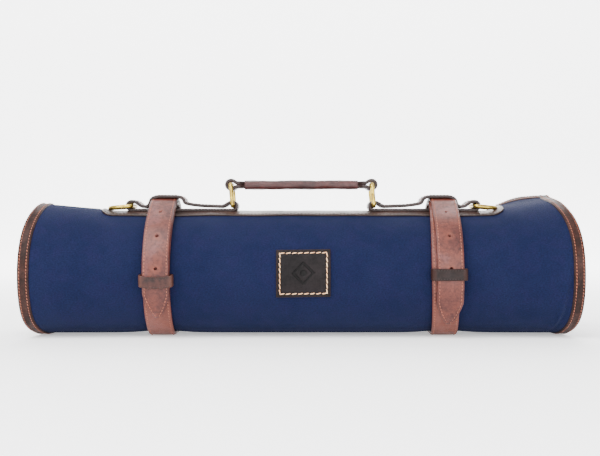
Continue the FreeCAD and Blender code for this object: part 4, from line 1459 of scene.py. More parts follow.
@dataclass
class Bindings:
    """Leather folded over the sheet's four edges, with two rows of stitches."""

    shape: RollShape
    wardrobe: Wardrobe
    stitches: StitchTree
    width: float = 11 * MM
    skin: float = 1.0 * MM
    sheet: float = 4.0 * MM
    groove: float = 0.35 * MM
    rows: tuple[float, float] = (2.3 * MM, 8.8 * MM)
    sewn_run: float = 400 * MM
    style: StitchStyle = StitchStyle(3.0 * MM, 2.0 * MM, 0.34 * MM, 0.12, 0.12, 5)

    def section(self) -> tuple[Array, Array]:
        """One turn round the folded strip.

        Returns:
            Distances in from the folded edge, and heights above the sheet's outer face.
        """
        w, t, g = self.width, self.skin, self.groove
        depth = self.sheet
        outer = [(w, 0.12 * t), (w - 0.12 * MM, 0.72 * t), (w - 0.6 * MM, t), (0.82 * w, 1.12 * t),
                 (0.66 * w, t), (0.5 * w, t - g), (0.36 * w, t), (0.2 * w, 1.12 * t), (0.9 * MM, 0.8 * t),
                 (0.25 * MM, 0.2 * t), (0.0, -0.8 * MM)]
        back = [(0.0, -depth + 0.6 * MM), (0.3 * MM, -depth - 0.5 * t), (1.1 * MM, -depth - 0.9 * t),
                (0.5 * w, -depth - t), (w - 0.5 * MM, -depth - t), (w, -depth - 0.5 * t),
                (w, -depth + 0.15 * MM), (1.2 * MM, -depth + 0.15 * MM), (1.2 * MM, -0.15 * MM),
                (w, -0.15 * MM)]
        loop = np.array(outer + back)
        return loop[:, 0], loop[:, 1]

    def fold(self, name: str, run: Array, place: Place) -> Piece:
        """A folded strip along an edge.

        Args:
            name: Its name.
            run: Distances of its stations along the edge.
            place: Turns (along, in from the edge, up) into points.

        Returns:
            The object.
        """
        inward, up = self.section()
        a = np.repeat(run[:, None], len(inward), 1)
        i, u = np.repeat(inward[None], len(run), 0), np.repeat(up[None], len(run), 0)
        uneven = 0.10 * MM * ripple(a / (14 * MM), i / (9 * MM), 23) * (u > 0)
        points = place(a, i, u + uneven)
        rows, cols = a.shape
        index = np.arange(rows * cols).reshape(rows, cols)
        faces = wall(index) + [list(index[0])[::-1], list(index[-1])]
        made = new_mesh(name, points.reshape(-1, 3), faces)
        write_map(made, a, i + np.abs(u))
        rim = np.maximum(1 - ease((self.width - i) / (1.4 * MM)), 1 - ease(i / (1.0 * MM)))
        # The middle of the top face is darkened like the rims: painted shade in the groove between the two
        # ridges.
        rim = np.maximum(rim, 0.75 * hump(i, self.width * 0.5, 1.2 * MM) * (u > 0))
        write_points(made, "rim", rim)
        face_outwards(made)
        return made

    def build(self) -> None:
        """Builds both ends and both long edges."""
        length, half = self.shape.length, self.shape.half_length
        w = self.wardrobe
        for hand in Hand:
            def end(along: Array, inward: Array, up: Array, sign: int = hand.sign) -> Array:
                """Placement beside one end of the roll."""
                return self.shape.place(sign * (half - inward), along, up)

            made = self.fold(f"end_binding_{hand.word}_leather", np.linspace(0.0, length, 330), end)
            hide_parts(f"end_binding_{hand.word}")
            dress(made, w.binding, Slot.BROWN, "case")
            run = np.linspace(1.5 * MM, self.sewn_run, 260)
            lines = [row_on(end, run, np.full(len(run), r), 1.12 * self.skin) for r in self.rows]
            self.stitches.sew_on(f"end_binding_{hand.word}_stitches", lines, self.style,
                                 w.tonal_thread, Slot.BROWN)
        reach = half - self.width
        for name, start, way in (("outer", 0.0, 1), ("inner", length, -1)):
            def edge(along: Array, inward: Array, up: Array, s0: float = start, sign: int = way) -> Array:
                """Placement beside one long edge of the sheet."""
                return self.shape.place(along, s0 + sign * (inward - 0.6 * MM), up)

            made = self.fold(f"edge_binding_{name}_leather", stations((-reach, reach), 190), edge)
            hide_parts(f"edge_binding_{name}")
            dress(made, w.binding, Slot.BROWN, "case")
            if name == "outer":
                run = np.linspace(-reach + 2 * MM, reach - 2 * MM, 170)
                lines = [row_on(edge, run, np.full(len(run), r), 1.12 * self.skin) for r in self.rows]
                self.stitches.sew_on("edge_binding_outer_stitches", lines, self.style,
                                     w.tonal_thread, Slot.BROWN)


@dataclass
class TopBand:
    """The stitched leather band along the top that the fittings are sewn to."""

    shape: RollShape
    wardrobe: Wardrobe
    stitches: StitchTree
    width: float = 46 * MM
    thick: float = 1.8 * MM
    corner: float = 12 * MM
    inset: float = 2.4 * MM
    spare: float = 2.5 * MM
    style: StitchStyle = StitchStyle(3.4 * MM, 2.4 * MM, 0.27 * MM, 0.1, 0.08, 9)

    def outline(self, x: Array, middle: float, reach: float, half: float, corner: float) -> Array:
        """The half-width of a rounded rectangle at places along it."""
        over = np.clip(np.abs(x - middle) - (reach - corner), 0.0, corner)
        return half - corner + np.sqrt(np.maximum(corner**2 - over**2, 0.0))

    def build(self) -> None:
        """Builds the band and its row of stitches."""
        low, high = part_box("top_band")
        middle, reach = (low.x + high.x) / 2, (high.x - low.x) / 2 + self.spare
        half = self.width / 2
        centre = self.shape.angle_to_length(90.0)
        ends = reach - self.corner * (1 - np.cos(np.linspace(0, math.pi / 2, 9)))[::-1]
        run = np.concatenate([-np.flip(ends), np.linspace(-ends[0], ends[0], 120)[1:-1], ends]) + middle
        width = np.maximum(self.outline(run, middle, reach, half, self.corner), 2 * MM)

        def place(along: Array, across: Array, up: Array) -> Array:
            """Placement on the crown of the roll. Across runs towards the back."""
            return self.shape.place(along, centre - across, up)

        def relief(along: Array, across: Array, up: Array) -> Array:
            """A hollow along the stitch line and a little unevenness of the top face.

            Args:
                along: Distances along the band.
                across: Distances from its middle line.
                up: Heights above its foot.

            Returns:
                Changes of height.
            """
            edge = self.outline(along, middle, reach, half, self.corner) - np.abs(across)
            top = up > 0.9 * self.thick
            return np.where(top, -0.18 * MM * hump(edge, self.inset, 0.9 * MM)
                            + 0.12 * MM * ripple(along / (26 * MM), across / (20 * MM), 31), 0.0)

        section = StripShape(self.thick, 0.6 * MM, 0.0, 24)
        made = strip("top_band_leather", run, width, section, place, relief=relief)
        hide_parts("top_band")
        dress(made, self.wardrobe.band, Slot.BAND, "case")
        inner = self.corner - self.inset
        t = np.linspace(0, math.pi / 2, 10)
        right = reach - self.inset - inner * (1 - np.sin(t))
        side = half - self.inset - inner * (1 - np.cos(t))
        straight = np.linspace(-(reach - self.corner), reach - self.corner, 160)
        level = np.full(len(straight), half - self.inset)
        loop_x = np.concatenate([straight, right[1:], right[::-1][1:],
                                 straight[::-1], -right[1:], -right[::-1]])
        loop_c = np.concatenate([level, side[1:], -side[::-1][1:], -level, -side[1:], side[::-1]])
        line = row_on(place, loop_x + middle, loop_c, self.thick - 0.14 * MM)
        self.stitches.sew_on("top_band_stitches", [line], self.style, self.wardrobe.dark_thread, Slot.BAND)


@dataclass
class MakerPatch:
    """The stitched patch on the front, with a pressed lozenge round a plain dot."""

    shape: RollShape
    wardrobe: Wardrobe
    stitches: StitchTree
    width: float = 50 * MM
    height: float = 42.8 * MM
    thick: float = 1.6 * MM
    angle: float = 178.0
    skew: float = 0.012
    reach: float = 9.2 * MM
    line: float = 1.4 * MM
    dot: float = 2.6 * MM
    depth: float = 0.8 * MM
    inset: float = 3.3 * MM
    style: StitchStyle = StitchStyle(4.9 * MM, 4.5 * MM, 0.52 * MM, 0.2, 0.05, 17)

    def emblem(self, x: Array, v: Array) -> Array:
        """How deep the mark is pressed.

        Args:
            x: Distances from the patch's middle along the roll.
            v: Distances from its middle round the roll.

        Returns:
            Depths.
        """
        square = (np.abs(x) + np.abs(v)) / math.sqrt(2)
        frame_line = 1 - ease((np.abs(square - self.reach / math.sqrt(2)) - self.line / 2) / (0.5 * MM))
        dot = 1 - ease((np.hypot(x, v) - self.dot) / (0.5 * MM))
        return self.depth * np.maximum(frame_line, dot)

    def build(self) -> None:
        """Builds the patch and its thick stitches."""
        middle = middle_x("maker_patch")
        centre = self.shape.angle_to_length(self.angle)

        def place(along: Array, across: Array, up: Array) -> Array:
            """Placement on the front of the roll. Across runs up the front."""
            return self.shape.place(middle + along, centre - across - self.skew * along, up)

        def relief(along: Array, across: Array, up: Array) -> Array:
            """The pressed mark, the sunk stitch line and a slight pillow.

            Args:
                along: Distances along the roll.
                across: Distances up the front.
                up: Heights above its foot.

            Returns:
                Changes of height.
            """
            edge = np.minimum(self.width / 2 - np.abs(along), self.height / 2 - np.abs(across))
            pressed = self.emblem(along, across) + 0.3 * MM * hump(edge, self.inset, 1.0 * MM)
            pillow = 0.25 * MM * ease(edge / (7 * MM))
            return np.where(up > 0.9 * self.thick, pillow - pressed, 0.0)

        run = np.linspace(-self.width / 2, self.width / 2, 126)
        section = StripShape(self.thick, 0.5 * MM, 0.0, 108)
        made = strip("maker_patch_leather", run, np.full(len(run), self.height / 2), section, place,
                     relief=relief)
        points = np.array([v.co for v in made.data.vertices])
        flat = made.data.uv_layers["cut"]
        across = np.zeros(len(points))
        for corner, uv in zip(made.data.loops, flat.data):
            across[corner.vertex_index] = uv.uv[1]
        upper = across < self.height / 2 + 0.2 * MM
        mark = self.emblem(points[:, 0] - middle, across) / self.depth
        write_points(made, "pressed", np.where(upper, mark, 0.0))
        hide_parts("maker_patch")
        dress(made, self.wardrobe.patch, Slot.DARK, "case")
        half = np.array([self.width, self.height]) / 2 - self.inset
        corners = [half * way for way in ((-1, 1), (1, 1), (1, -1), (-1, -1), (-1, 1))]
        t = np.linspace(0.05, 0.95, 30)
        rows = []
        for a, b in zip(corners, corners[1:]):
            rows.append(row_on(place, a[0] + t * (b[0] - a[0]), a[1] + t * (b[1] - a[1]),
                               self.thick - 0.1 * MM))
        self.stitches.sew_on("maker_patch_stitches", rows, self.style, self.wardrobe.cream_thread, Slot.DARK)


# ------------------------------------------------------------------- straps


@dataclass
class ClosingStrap:
    """A strap that wraps the roll, goes round its own buckle and lies doubled in front."""

    hand: Hand
    shape: RollShape
    wardrobe: Wardrobe
    stitches: StitchTree
    tip: float
    lean: float
    width: float = 25 * MM
    thick: float = 3.0 * MM
    gap: float = 0.3 * MM
    inner: float = 60.6 * MM
    lift: float = 6 * MM
    span: float = 36.0
    heel: float = 52.0
    heel_lift: float = 0.85 * MM
    buckle_reach: float = 19 * MM
    wire: float = 1.6 * MM
    eye_clear: float = 0.25 * MM
    eye_skin: float = 1.35 * MM
    taper: float = 24 * MM
    hole_first: float = 174.5
    hole_pitch: float = 27.5
    hole_count: int = 5
    hole_radius: float = 1.45 * MM
    slot: tuple[float, float] = (4.5 * MM, 17.5 * MM)
    slot_width: float = 3.5 * MM
    slot_depth: tuple[float, float] = (-5.2 * MM, 1.6 * MM)
    prong: float = 1.25 * MM
    notch: float = 4.5 * MM
    sewn_from: float = 6 * MM
    hidden: float = 30 * MM
    inset: float = 2.3 * MM
    style: StitchStyle = StitchStyle(3.3 * MM, 2.2 * MM, 0.34 * MM, 0.1, 0.12, 29)

    def __post_init__(self) -> None:
        """Lays out the strap's middle line."""
        self.middle = self.inner + self.thick / 2
        heel_radius = self.middle + self.heel_lift
        front_radius = self.middle + self.thick / 2 + self.gap + self.wire
        square = heel_radius**2 + front_radius**2 - self.buckle_reach**2
        self.front_angle = self.heel - math.degrees(math.acos(square / (2 * heel_radius * front_radius)))
        self.heel_point = np.array(section_point(heel_radius, self.heel))
        self.front_point = np.array(section_point(front_radius, self.front_angle))
        eye = self.wire + self.eye_clear + self.eye_skin
        rise = self.heel + 98
        path = SectionPath(self.heel_point, rise)
        path.reach(section_point(self.middle + self.lift, 90), 180)
        path.reach(section_point(self.middle, 90 + self.span), 180 + self.span)
        depth = self.shape.radius - self.shape.sag + self.gap + self.thick / 2
        flat_turn(path, self.middle, depth, 90 + self.span, 362 + self.front_angle, self.shape.base_bend)
        over = heel_radius + eye + self.gap + self.thick / 2
        path.reach(section_point(over, self.heel), rise)
        self.lap = path.length
        outer = self.middle + self.thick + self.gap
        path.reach(section_point(outer + self.lift, 90), 180)
        path.reach(section_point(outer, 90 + self.span), 180 + self.span)
        self.face = path.length
        path.arc(outer, self.tip - 90 - self.span)
        self.outer = outer
        self.track = Track(path)
        self.axis = np.array([middle_x(f"strap_{self.hand.word}"), self.shape.axis_y, self.shape.axis_z])

    def drift(self, s: Array) -> Array:
        """How far the strap wanders along the roll, at distances along it."""
        under = hump(s, self.lap * 0.33, 70 * MM)
        return -self.lean * under + 0.35 * MM * np.sin(s / (31 * MM))

    def place(self, along: Array, across: Array, up: Array) -> Array:
        """Placement on the strap. Up is measured from its inner face.

        Args:
            along: Distances along the strap from its buckle.
            across: Distances from its middle line.
            up: Heights.

        Returns:
            The points.
        """
        u, v, left_u, left_v = self.track.read(along)
        rise = up - self.thick / 2
        x = across + self.drift(along)
        return self.axis + np.stack([x, u - rise * left_u, v - rise * left_v], -1)

    def half_width(self, s: Array) -> Array:
        """The strap's half-width, drawn in to a point at its tip.

        Args:
            s: Distances along the strap.

        Returns:
            Half-widths.
        """
        left = np.clip((self.track.length - s) / self.taper, 0.0, 1.0)
        shape = np.power(left, 0.62) * 0.93 + 0.07
        return np.where(left >= 1, self.width / 2, self.width / 2 * shape)

    def holes(self) -> list[Array]:
        """The middles of the strap's round holes, on the outer face.

        Returns:
            The points.
        """
        made = []
        for k in range(self.hole_count):
            angle = self.hole_first - k * self.hole_pitch
            lift = self.lift if abs(angle - 90) < self.span / 2 else 0.0
            y, z = section_point(self.outer + 0.9 * lift + self.thick / 2, angle)
            made.append(self.axis + np.array([0.0, y, z]))
        return made

    def build(self) -> None:
        """Builds the strap, its eye, holes and stitches."""
        body_end = self.track.length - self.taper
        run = np.concatenate([np.linspace(0.0, body_end, 300),
                              self.track.length - self.taper * (1 - np.linspace(0, 1, 16)[1:]) ** 1.3])

        def relief(along: Array, across: Array, up: Array) -> Array:
            """A hollow along the stitches and fine creases where the strap bends at the top.

            Args:
                along: Distances along the strap.
                across: Distances from its middle line.
                up: Heights above its inner face.

            Returns:
                Changes of height.
            """
            top = up > 0.9 * self.thick
            edge = self.half_width(along) - np.abs(across)
            bent = hump(along, self.face - 24 * MM, 12 * MM) + 0.6 * hump(along, self.face - 66 * MM, 10 * MM)
            crease = np.sin(along / (0.62 * MM) + 2.5 * np.sin(across / (5 * MM))) * 0.09 * MM * bent
            return np.where(top, crease - 0.16 * MM * hump(edge, self.inset, 0.9 * MM), 0.0)

        section = StripShape(self.thick, 0.9 * MM, 0.15 * MM, 12)
        name = f"strap_{self.hand.word}_leather"
        body = strip(name, run, self.half_width(run), section, self.place, relief=relief)
        holes = self.holes()
        self.rub(body, holes)
        cutters = []
        for k, hole in enumerate(holes):
            out = hole - self.axis
            out /= np.linalg.norm(out)
            cutters.append(rod(f"punch_{k}", hole - out * 2.95 * MM, hole + out * 4 * MM, self.hole_radius))
        cutters.append(self.slot_cutter())
        heel = self.axis + np.array([0.0, *self.heel_point])
        eye = self.wire + self.eye_clear
        for cutter, reach, radius in (("bore", self.width / 2 + 1 * MM, eye),
                                      ("gap", self.notch / 2, eye + self.eye_skin + 0.15 * MM)):
            side = np.array([reach, 0.0, 0.0])
            cutters.append(rod(cutter, heel - side, heel + side, radius, 28))
        drill(body, cutters)
        whole = join(name, [body] + [self.eye_tube(sign, heel) for sign in (-1, 1)])
        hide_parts(f"strap_{self.hand.word}")
        dress(whole, self.wardrobe.strap, Slot.BROWN, "case")
        self.sew()

    def rub(self, body: Piece, holes: Sequence[Array]) -> None:
        """Stores where the leather is paler: worn rings round the holes, and the lowest part of the under
        layer in front.

        Args:
            body: The strap's mesh.
            holes: The middles of its holes.
        """
        points = np.array([v.co for v in body.data.vertices])
        near = np.min([np.linalg.norm(points - h, axis=1) for h in holes], axis=0)
        # Paler towards the bottom of the under layer in front.
        lower = ease((40 * MM - points[:, 2]) / (14 * MM)) * ease((20 * MM - points[:, 1]) / (20 * MM))
        out = np.linalg.norm((points - self.axis)[:, 1:], axis=1)
        lower = lower * (out < self.outer - self.thick / 2)
        write_points(body, "wear", np.maximum(hump(near, 3.1 * MM, 1.3 * MM) * 0.9, 0.8 * lower))

    def eye_tube(self, sign: int, axis: Array) -> Piece:
        """Half of the folded eye round the buckle's heel bar.

        Args:
            sign: Which side of the prong it is on.
            axis: The middle of the heel bar.

        Returns:
            The object.
        """
        low, high = self.notch / 2, self.width / 2
        inner, outer = self.wire + self.eye_clear, self.wire + self.eye_clear + self.eye_skin
        middle = (inner + outer) / 2
        run = np.linspace(0, 2 * math.pi, 33)[:-1]

        def place(along: Array, across: Array, up: Array) -> Array:
            """Placement round the bar.

            Args:
                along: Angles in radians.
                across: Distances along the bar.
                up: Heights above the inner face.

            Returns:
                The points.
            """
            r = middle + up - self.eye_skin / 2
            x = axis[0] + sign * (low + high) / 2 + across
            return np.stack([x, axis[1] + r * np.cos(along), axis[2] + r * np.sin(along)], -1)

        section = StripShape(self.eye_skin, 0.4 * MM, 0.0, 4)
        made = strip("eye", run, np.full(len(run), (high - low) / 2), section, place, closed=True)
        write_points(made, "wear", np.zeros(len(made.data.vertices)))
        return made

    def slot_cutter(self) -> Piece:
        """A cutter for the used hole that the prong comes up through.

        Returns:
            The object.
        """
        to_front = self.front_point - self.heel_point
        lift = self.wire + self.prong + 0.1 * MM
        turn = math.atan2(to_front[1], to_front[0]) + math.asin(lift / float(np.hypot(*to_front)))
        way = np.array([0.0, math.cos(turn), math.sin(turn)])
        up = np.array([0.0, -way[2], way[1]])
        up = up if up[1] * self.heel_point[0] + up[2] * self.heel_point[1] > 0 else -up
        heel = self.axis + np.array([0.0, *self.heel_point])
        corners = []
        for a in self.slot:
            for b in (-self.slot_width / 2, self.slot_width / 2):
                for c in self.slot_depth:
                    corners.append(heel + way * a + np.array([b, 0, 0]) + up * c)
        faces = [(0, 1, 3, 2), (4, 6, 7, 5), (0, 4, 5, 1), (2, 3, 7, 6), (0, 2, 6, 4), (1, 5, 7, 3)]
        made = new_mesh("slot", np.array(corners), faces, smooth=False)
        face_outwards(made)
        return made

    def sew(self) -> None:
        """Sews both edges of the strap, meeting near its point."""
        rows = []
        stop = self.track.length - 3.2 * MM
        for start, end in ((self.sewn_from, self.lap - self.hidden), (self.lap + 4 * MM, stop)):
            run = np.linspace(start, end, int((end - start) / (1.2 * MM)))
            for sign in (-1, 1):
                across = sign * np.maximum(self.half_width(run) - self.inset, 0.3 * MM)
                rows.append(row_on(self.place, run, across, self.thick - 0.06 * MM))
        self.stitches.sew_on(f"strap_{self.hand.word}_stitches", rows, self.style,
                             self.wardrobe.tonal_thread, Slot.BROWN)


@dataclass
class Keeper:
    """A leather loop that slides along the doubled strap."""

    hand: Hand
    shape: RollShape
    wardrobe: Wardrobe
    stitches: StitchTree
    angle: float
    droop: float
    shift: float
    half: float
    width: float = 11 * MM
    thick: float = 1.6 * MM
    inner: float = 59.0 * MM
    outer: float = 68.8 * MM
    corner: float = 2.4 * MM
    sewn_at: float = 3.9 * MM
    style: StitchStyle = StitchStyle(2.6 * MM, 1.7 * MM, 0.2 * MM, 0.0, 0.05, 41)

    def build(self) -> None:
        """Builds the loop and its stitches."""
        x0 = middle_x(f"keeper_{self.hand.word}") - self.shift
        skin = self.thick / 2
        reach, bottom, top = self.half - skin, self.inner + skin, self.outer - skin
        path = SectionPath((-reach + self.corner, top), 0)
        wide, tall = 2 * (reach - self.corner), top - bottom - 2 * self.corner
        for side in (wide, tall, wide, tall):
            path.line(side).arc(self.corner, -90)
        track = Track(path, 0.1 * MM)
        turn = math.radians(self.angle)
        out = np.array([0.0, math.cos(turn), math.sin(turn)])
        down = np.array([0.0, -math.sin(turn), math.cos(turn)])
        axis = np.array([0.0, self.shape.axis_y, self.shape.axis_z])

        def place(along: Array, across: Array, up: Array) -> Array:
            """Placement round the loop. Across runs round the roll.

            Args:
                along: Distances round the loop.
                across: Distances round the roll.
                up: Heights.

            Returns:
                The points.
            """
            u, v, left_u, left_v = track.read(along % track.length)
            rise = up - skin
            u, v = u + rise * left_u, v + rise * left_v
            face = ease((v - bottom) / (top - bottom))
            bow = self.droop * (1 - (u / reach) ** 2) * face
            level = (across + bow)[..., None]
            return axis + np.array([1.0, 0, 0]) * (x0 + u)[..., None] + out * v[..., None] + down * level

        run = np.linspace(0, track.length, 97)[:-1]
        section = StripShape(self.thick, 0.55 * MM, 0.1 * MM, 6)
        body = f"keeper_{self.hand.word}"
        made = strip(f"{body}_leather", run, np.full(len(run), self.width / 2), section, place, closed=True)
        points = np.array([v.co for v in made.data.vertices])
        write_points(made, "wear", ease((np.abs(points[:, 0] - x0) - 11.2 * MM) / (2 * MM)))
        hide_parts(f"keeper_{self.hand.word}")
        # The right keeper gets the darker copy of its leather: painted shade.
        skin_finish = self.wardrobe.brown_keeper if self.hand is Hand.LEFT else self.wardrobe.keeper
        dress(made, skin_finish, Slot.BROWN, body)
        run = np.linspace(0.5 * MM, wide - 0.5 * MM, 20)
        rows = [row_on(place, run, np.full(len(run), c), self.thick + 0.04 * MM)
                for c in (-self.sewn_at, self.sewn_at)]
        self.stitches.sew_on(f"keeper_{self.hand.word}_stitches", rows, self.style,
                             self.wardrobe.dark_thread, Slot.BROWN, body)


@dataclass
class AnchorTab:
    """A strip that holds a handle ring and a dee, and arches over the strap between them.

    Its strap and dee fields are distances outwards from the ring.
    """

    hand: Hand
    shape: RollShape
    wardrobe: Wardrobe
    stitches: StitchTree
    width: float = 24 * MM
    thick: float = 3.0 * MM
    bar: float = 4.1 * MM
    arch_shift: float = 3.2 * MM
    wire: float = 2.0 * MM
    clear: float = 0.3 * MM
    strap: float = 66.75 * MM
    dee: float = 98.05 * MM
    arch_half: float = 17.2 * MM
    tail: float = 1 * MM
    sewn: tuple[float, float] = (14 * MM, 46 * MM)
    bend: float = 10 * MM
    crown: float = 12.0 * MM
    dee_loop: float = 4.2 * MM
    inset: float = 2.2 * MM
    style: StitchStyle = StitchStyle(3.2 * MM, 2.2 * MM, 0.25 * MM, 0.05, 0.08, 53)

    def path(self) -> SectionPath:
        """The middle of the strip, outwards from the ring's lower bar and up from the band.

        Returns:
            The run.
        """
        skin = self.thick
        loop = self.wire + self.clear + skin / 2
        low = self.bar - loop
        high = low + skin
        reach = self.arch_half
        top = self.crown + skin / 2
        middle = self.strap - self.arch_shift
        path = SectionPath((self.strap - self.tail, low), 180)
        path.line(self.strap - self.tail)
        path.arc(loop, -180)
        path.reach((12 * MM, high + 0.6 * MM), 2)
        path.reach((middle - reach - 3 * MM, high + 3.0 * MM), 11)
        path.reach((middle - reach + 0.8 * MM, high + 5.5 * MM), 76)
        path.reach((middle - reach + self.bend, top), 0)
        path.line(2 * (reach - self.bend))
        path.reach((middle + reach - 0.8 * MM, high + 5 * MM), 282)
        path.reach((middle + reach + 3.2 * MM, high + 0.4 * MM), 350)
        path.reach((self.dee, low + 2 * self.dee_loop), 0)
        path.arc(self.dee_loop, -180)
        path.line(self.dee - self.strap - self.tail)
        return path

    def build(self) -> None:
        """Builds the tab and its stitches."""
        sign = self.hand.sign
        x0 = middle_x("top_band") + sign * RING_REACH
        track = Track(self.path(), 0.2 * MM)
        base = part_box("top_band")[1].z

        def place(along: Array, across: Array, up: Array) -> Array:
            """Placement on the tab. Up is measured from its inner face.

            Args:
                along: Distances along the strip.
                across: Distances towards the back.
                up: Heights.

            Returns:
                The points.
            """
            u, v, left_u, left_v = track.read(along)
            rise = up - self.thick / 2
            x = x0 + sign * (u + rise * left_u)
            y = self.shape.axis_y + across
            return np.stack([x, y, base + v + rise * left_v], -1)

        run = np.linspace(0.0, track.length, 220)
        section = StripShape(self.thick, 0.6 * MM, 0.12 * MM, 10)
        half = np.full(len(run), self.width / 2)
        made = strip(f"anchor_tab_{self.hand.word}_leather", run, half, section, place)
        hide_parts(f"anchor_tab_{self.hand.word}")
        dress(made, self.wardrobe.tab, Slot.DARK, "case")
        run = np.linspace(self.strap + self.sewn[0], track.length - self.sewn[1], 160)
        rows = [row_on(place, run, np.full(len(run), c), self.thick + 0.02 * MM)
                for c in (self.inset - self.width / 2, self.width / 2 - self.inset)]
        self.stitches.sew_on(f"anchor_tab_{self.hand.word}_stitches", rows, self.style,
                             self.wardrobe.tonal_thread, Slot.DARK)


@dataclass
class CarryHandle:
    """The handle: a leather core with a loop at each end, in a stitched sleeve."""

    wardrobe: Wardrobe
    stitches: StitchTree
    core_thick: float = 3.3 * MM
    loop: float = 4.2 * MM
    loop_half: float = 10 * MM
    waist_half: float = 5.6 * MM
    neck: float = 6.8 * MM
    inset: float = 12.95 * MM
    end_bend: float = 0.7 * MM
    sewn_at: tuple[float, float] = (-1.2 * MM, 3.2 * MM)
    style: StitchStyle = StitchStyle(3.4 * MM, 2.3 * MM, 0.24 * MM, 0.0, 0.08, 71)

    def core_path(self) -> SectionPath:
        """The closed middle line of the core.

        Returns:
            The run.
        """
        half = RING_REACH
        level = self.core_thick / 2 + 0.05 * MM
        path = SectionPath((0, level), 0)
        near = half - self.neck
        path.line(near).reach((half, self.loop), 0).arc(self.loop, -180)
        path.reach((near, -level), 180).line(2 * near)
        path.reach((-half, -self.loop), 180).arc(self.loop, -180)
        path.reach((-near, level), 0).line(near)
        return path

    def build(self) -> None:
        """Builds the core, the sleeve and the sleeve's stitches."""
        low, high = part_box("handle_grip")
        centre = np.array([(low.x + high.x) / 2, (low.y + high.y) / 2, (low.z + high.z) / 2])
        self.build_core(centre)
        self.build_sleeve(centre, np.array([high.x - low.x, high.y - low.y, high.z - low.z]) / 2)

    def build_core(self, centre: Array) -> None:
        """Builds the looped core.

        Args:
            centre: The handle's middle.
        """
        track = Track(self.core_path(), 0.2 * MM)

        def place(along: Array, across: Array, up: Array) -> Array:
            """Placement on the closed core. Up is measured outwards from its inner face.

            Args:
                along: Distances round the core.
                across: Distances towards the back.
                up: Heights.

            Returns:
                The points.
            """
            u, v, left_u, left_v = track.read(along % track.length)
            rise = up - self.core_thick / 2
            return np.stack([centre[0] + u + rise * left_u, centre[1] + across,
                             centre[2] + v + rise * left_v], -1)

        run = np.linspace(0, track.length, 361)[:-1]
        u = np.abs(track.read(run)[0])
        grow = ease((u - (RING_REACH - self.inset + 0.2 * MM)) / (5 * MM))
        half = self.waist_half + (self.loop_half - self.waist_half) * grow
        section = StripShape(self.core_thick, 0.7 * MM, 0.12 * MM, 8)
        made = strip("handle_core_leather", run, half, section, place, closed=True)
        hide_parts("handle_core")
        dress(made, self.wardrobe.tab, Slot.DARK, "handle")

    def build_sleeve(self, centre: Array, half: Array) -> None:
        """Builds the stitched sleeve.

        Args:
            centre: The handle's middle.
            half: Half of the sleeve's length, depth and height.
        """
        corner = half[2] - 0.05 * MM
        path = SectionPath((-half[1] + corner, -half[2]), 0)
        for run in (2 * half[1], 2 * half[2], 2 * half[1], 2 * half[2]):
            path.line(run - 2 * corner).arc(corner, 90)
        track = Track(path, 0.1 * MM)
        bend = self.end_bend
        ends = half[0] - bend * (1 - np.cos(np.linspace(0, math.pi / 2, 5)))[::-1]
        x = np.concatenate([-np.flip(ends), np.linspace(-ends[0], ends[0], 130)[1:-1], ends])
        inset = bend * (1 - np.sqrt(np.clip(1 - ((np.abs(x) - half[0] + bend) / bend).clip(0, 1) ** 2, 0, 1)))
        around = np.linspace(0, track.length, 57)[:-1]
        grid_x, grid_s = np.meshgrid(x, around, indexing="ij")
        y, z, left_y, left_z = track.read(grid_s)
        uneven = 0.22 * MM * ripple(grid_x / (17 * MM), grid_s / (9 * MM), 61)
        uneven += 0.28 * MM * ripple(grid_x / (45 * MM), grid_s / (60 * MM), 62) - 0.25 * MM
        seam = hump(grid_s, track.length * 0.25 + 1 * MM, 0.9 * MM)
        out = uneven - inset[:, None] - 0.25 * MM * seam
        points = centre + np.stack([grid_x, y - out * left_y, z - out * left_z], -1)
        rows, cols = grid_x.shape
        index = np.arange(rows * cols).reshape(rows, cols)
        faces = wall(index)
        bore = np.array([half[0], 5.95 * MM, 2.62 * MM])
        rims = [centre + np.clip((points[r] - centre) * np.array([1.0, 0.78, 0.66]), -bore, bore)
                for r in (0, rows - 1)]
        skin = np.concatenate([points.reshape(-1, 3), *rims])
        first = rows * cols
        for k in range(cols):
            j = (k + 1) % cols
            faces.append((index[0, k], index[0, j], first + j, first + k))
            faces.append((index[-1, k], index[-1, j], first + cols + j, first + cols + k))
            faces.append((first + k, first + j, first + cols + j, first + cols + k))
        made = new_mesh("handle_grip_leather", skin, faces)
        flat_u = np.concatenate([grid_x.ravel(), np.full(cols, x[0]), np.full(cols, x[-1])])
        flat_v = np.concatenate([grid_s.ravel(), around, around])
        write_map(made, flat_u, flat_v)
        write_points(made, "rim", 1 - ease((half[0] - np.abs(flat_u)) / (1.6 * MM)))
        face_outwards(made)
        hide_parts("handle_grip")
        dress(made, self.wardrobe.grip, Slot.BROWN, "handle")

        def place(along: Array, across: Array, up: Array) -> Array:
            """Placement on the sleeve. Across runs round it."""
            v, w, side_v, side_w = track.read(across % track.length)
            return centre + np.stack([along, v - up * side_v, w - up * side_w], -1)

        run = np.linspace(-half[0] + 3 * MM, half[0] - 3 * MM, 90)
        rows = [row_on(place, run, np.full(len(run), track.length * 0.25 + d), -0.02 * MM)
                for d in self.sewn_at]
        self.stitches.sew_on("handle_grip_stitches", rows, self.style, self.wardrobe.dark_thread,
                             Slot.BROWN, "handle")


@dataclass
class Hardware:
    """The brass rings, dees, buckle frames and prongs, which keep the shape of the parts."""

    wardrobe: Wardrobe
    kinds: tuple[str, ...] = ("handle_ring", "dee_ring", "buckle_frame", "buckle_prong")

    def dress(self) -> None:
        """Gives every brass part its finish."""
        for kind in self.kinds:
            for hand in Hand:
                name = f"{kind}_{hand.word}"
                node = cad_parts[name]
                node.data.materials.clear()
                node.data.materials.append(self.wardrobe.brass)
                LOG.info("%s: brass", name)


# ------------------------------------------------------------------- studio


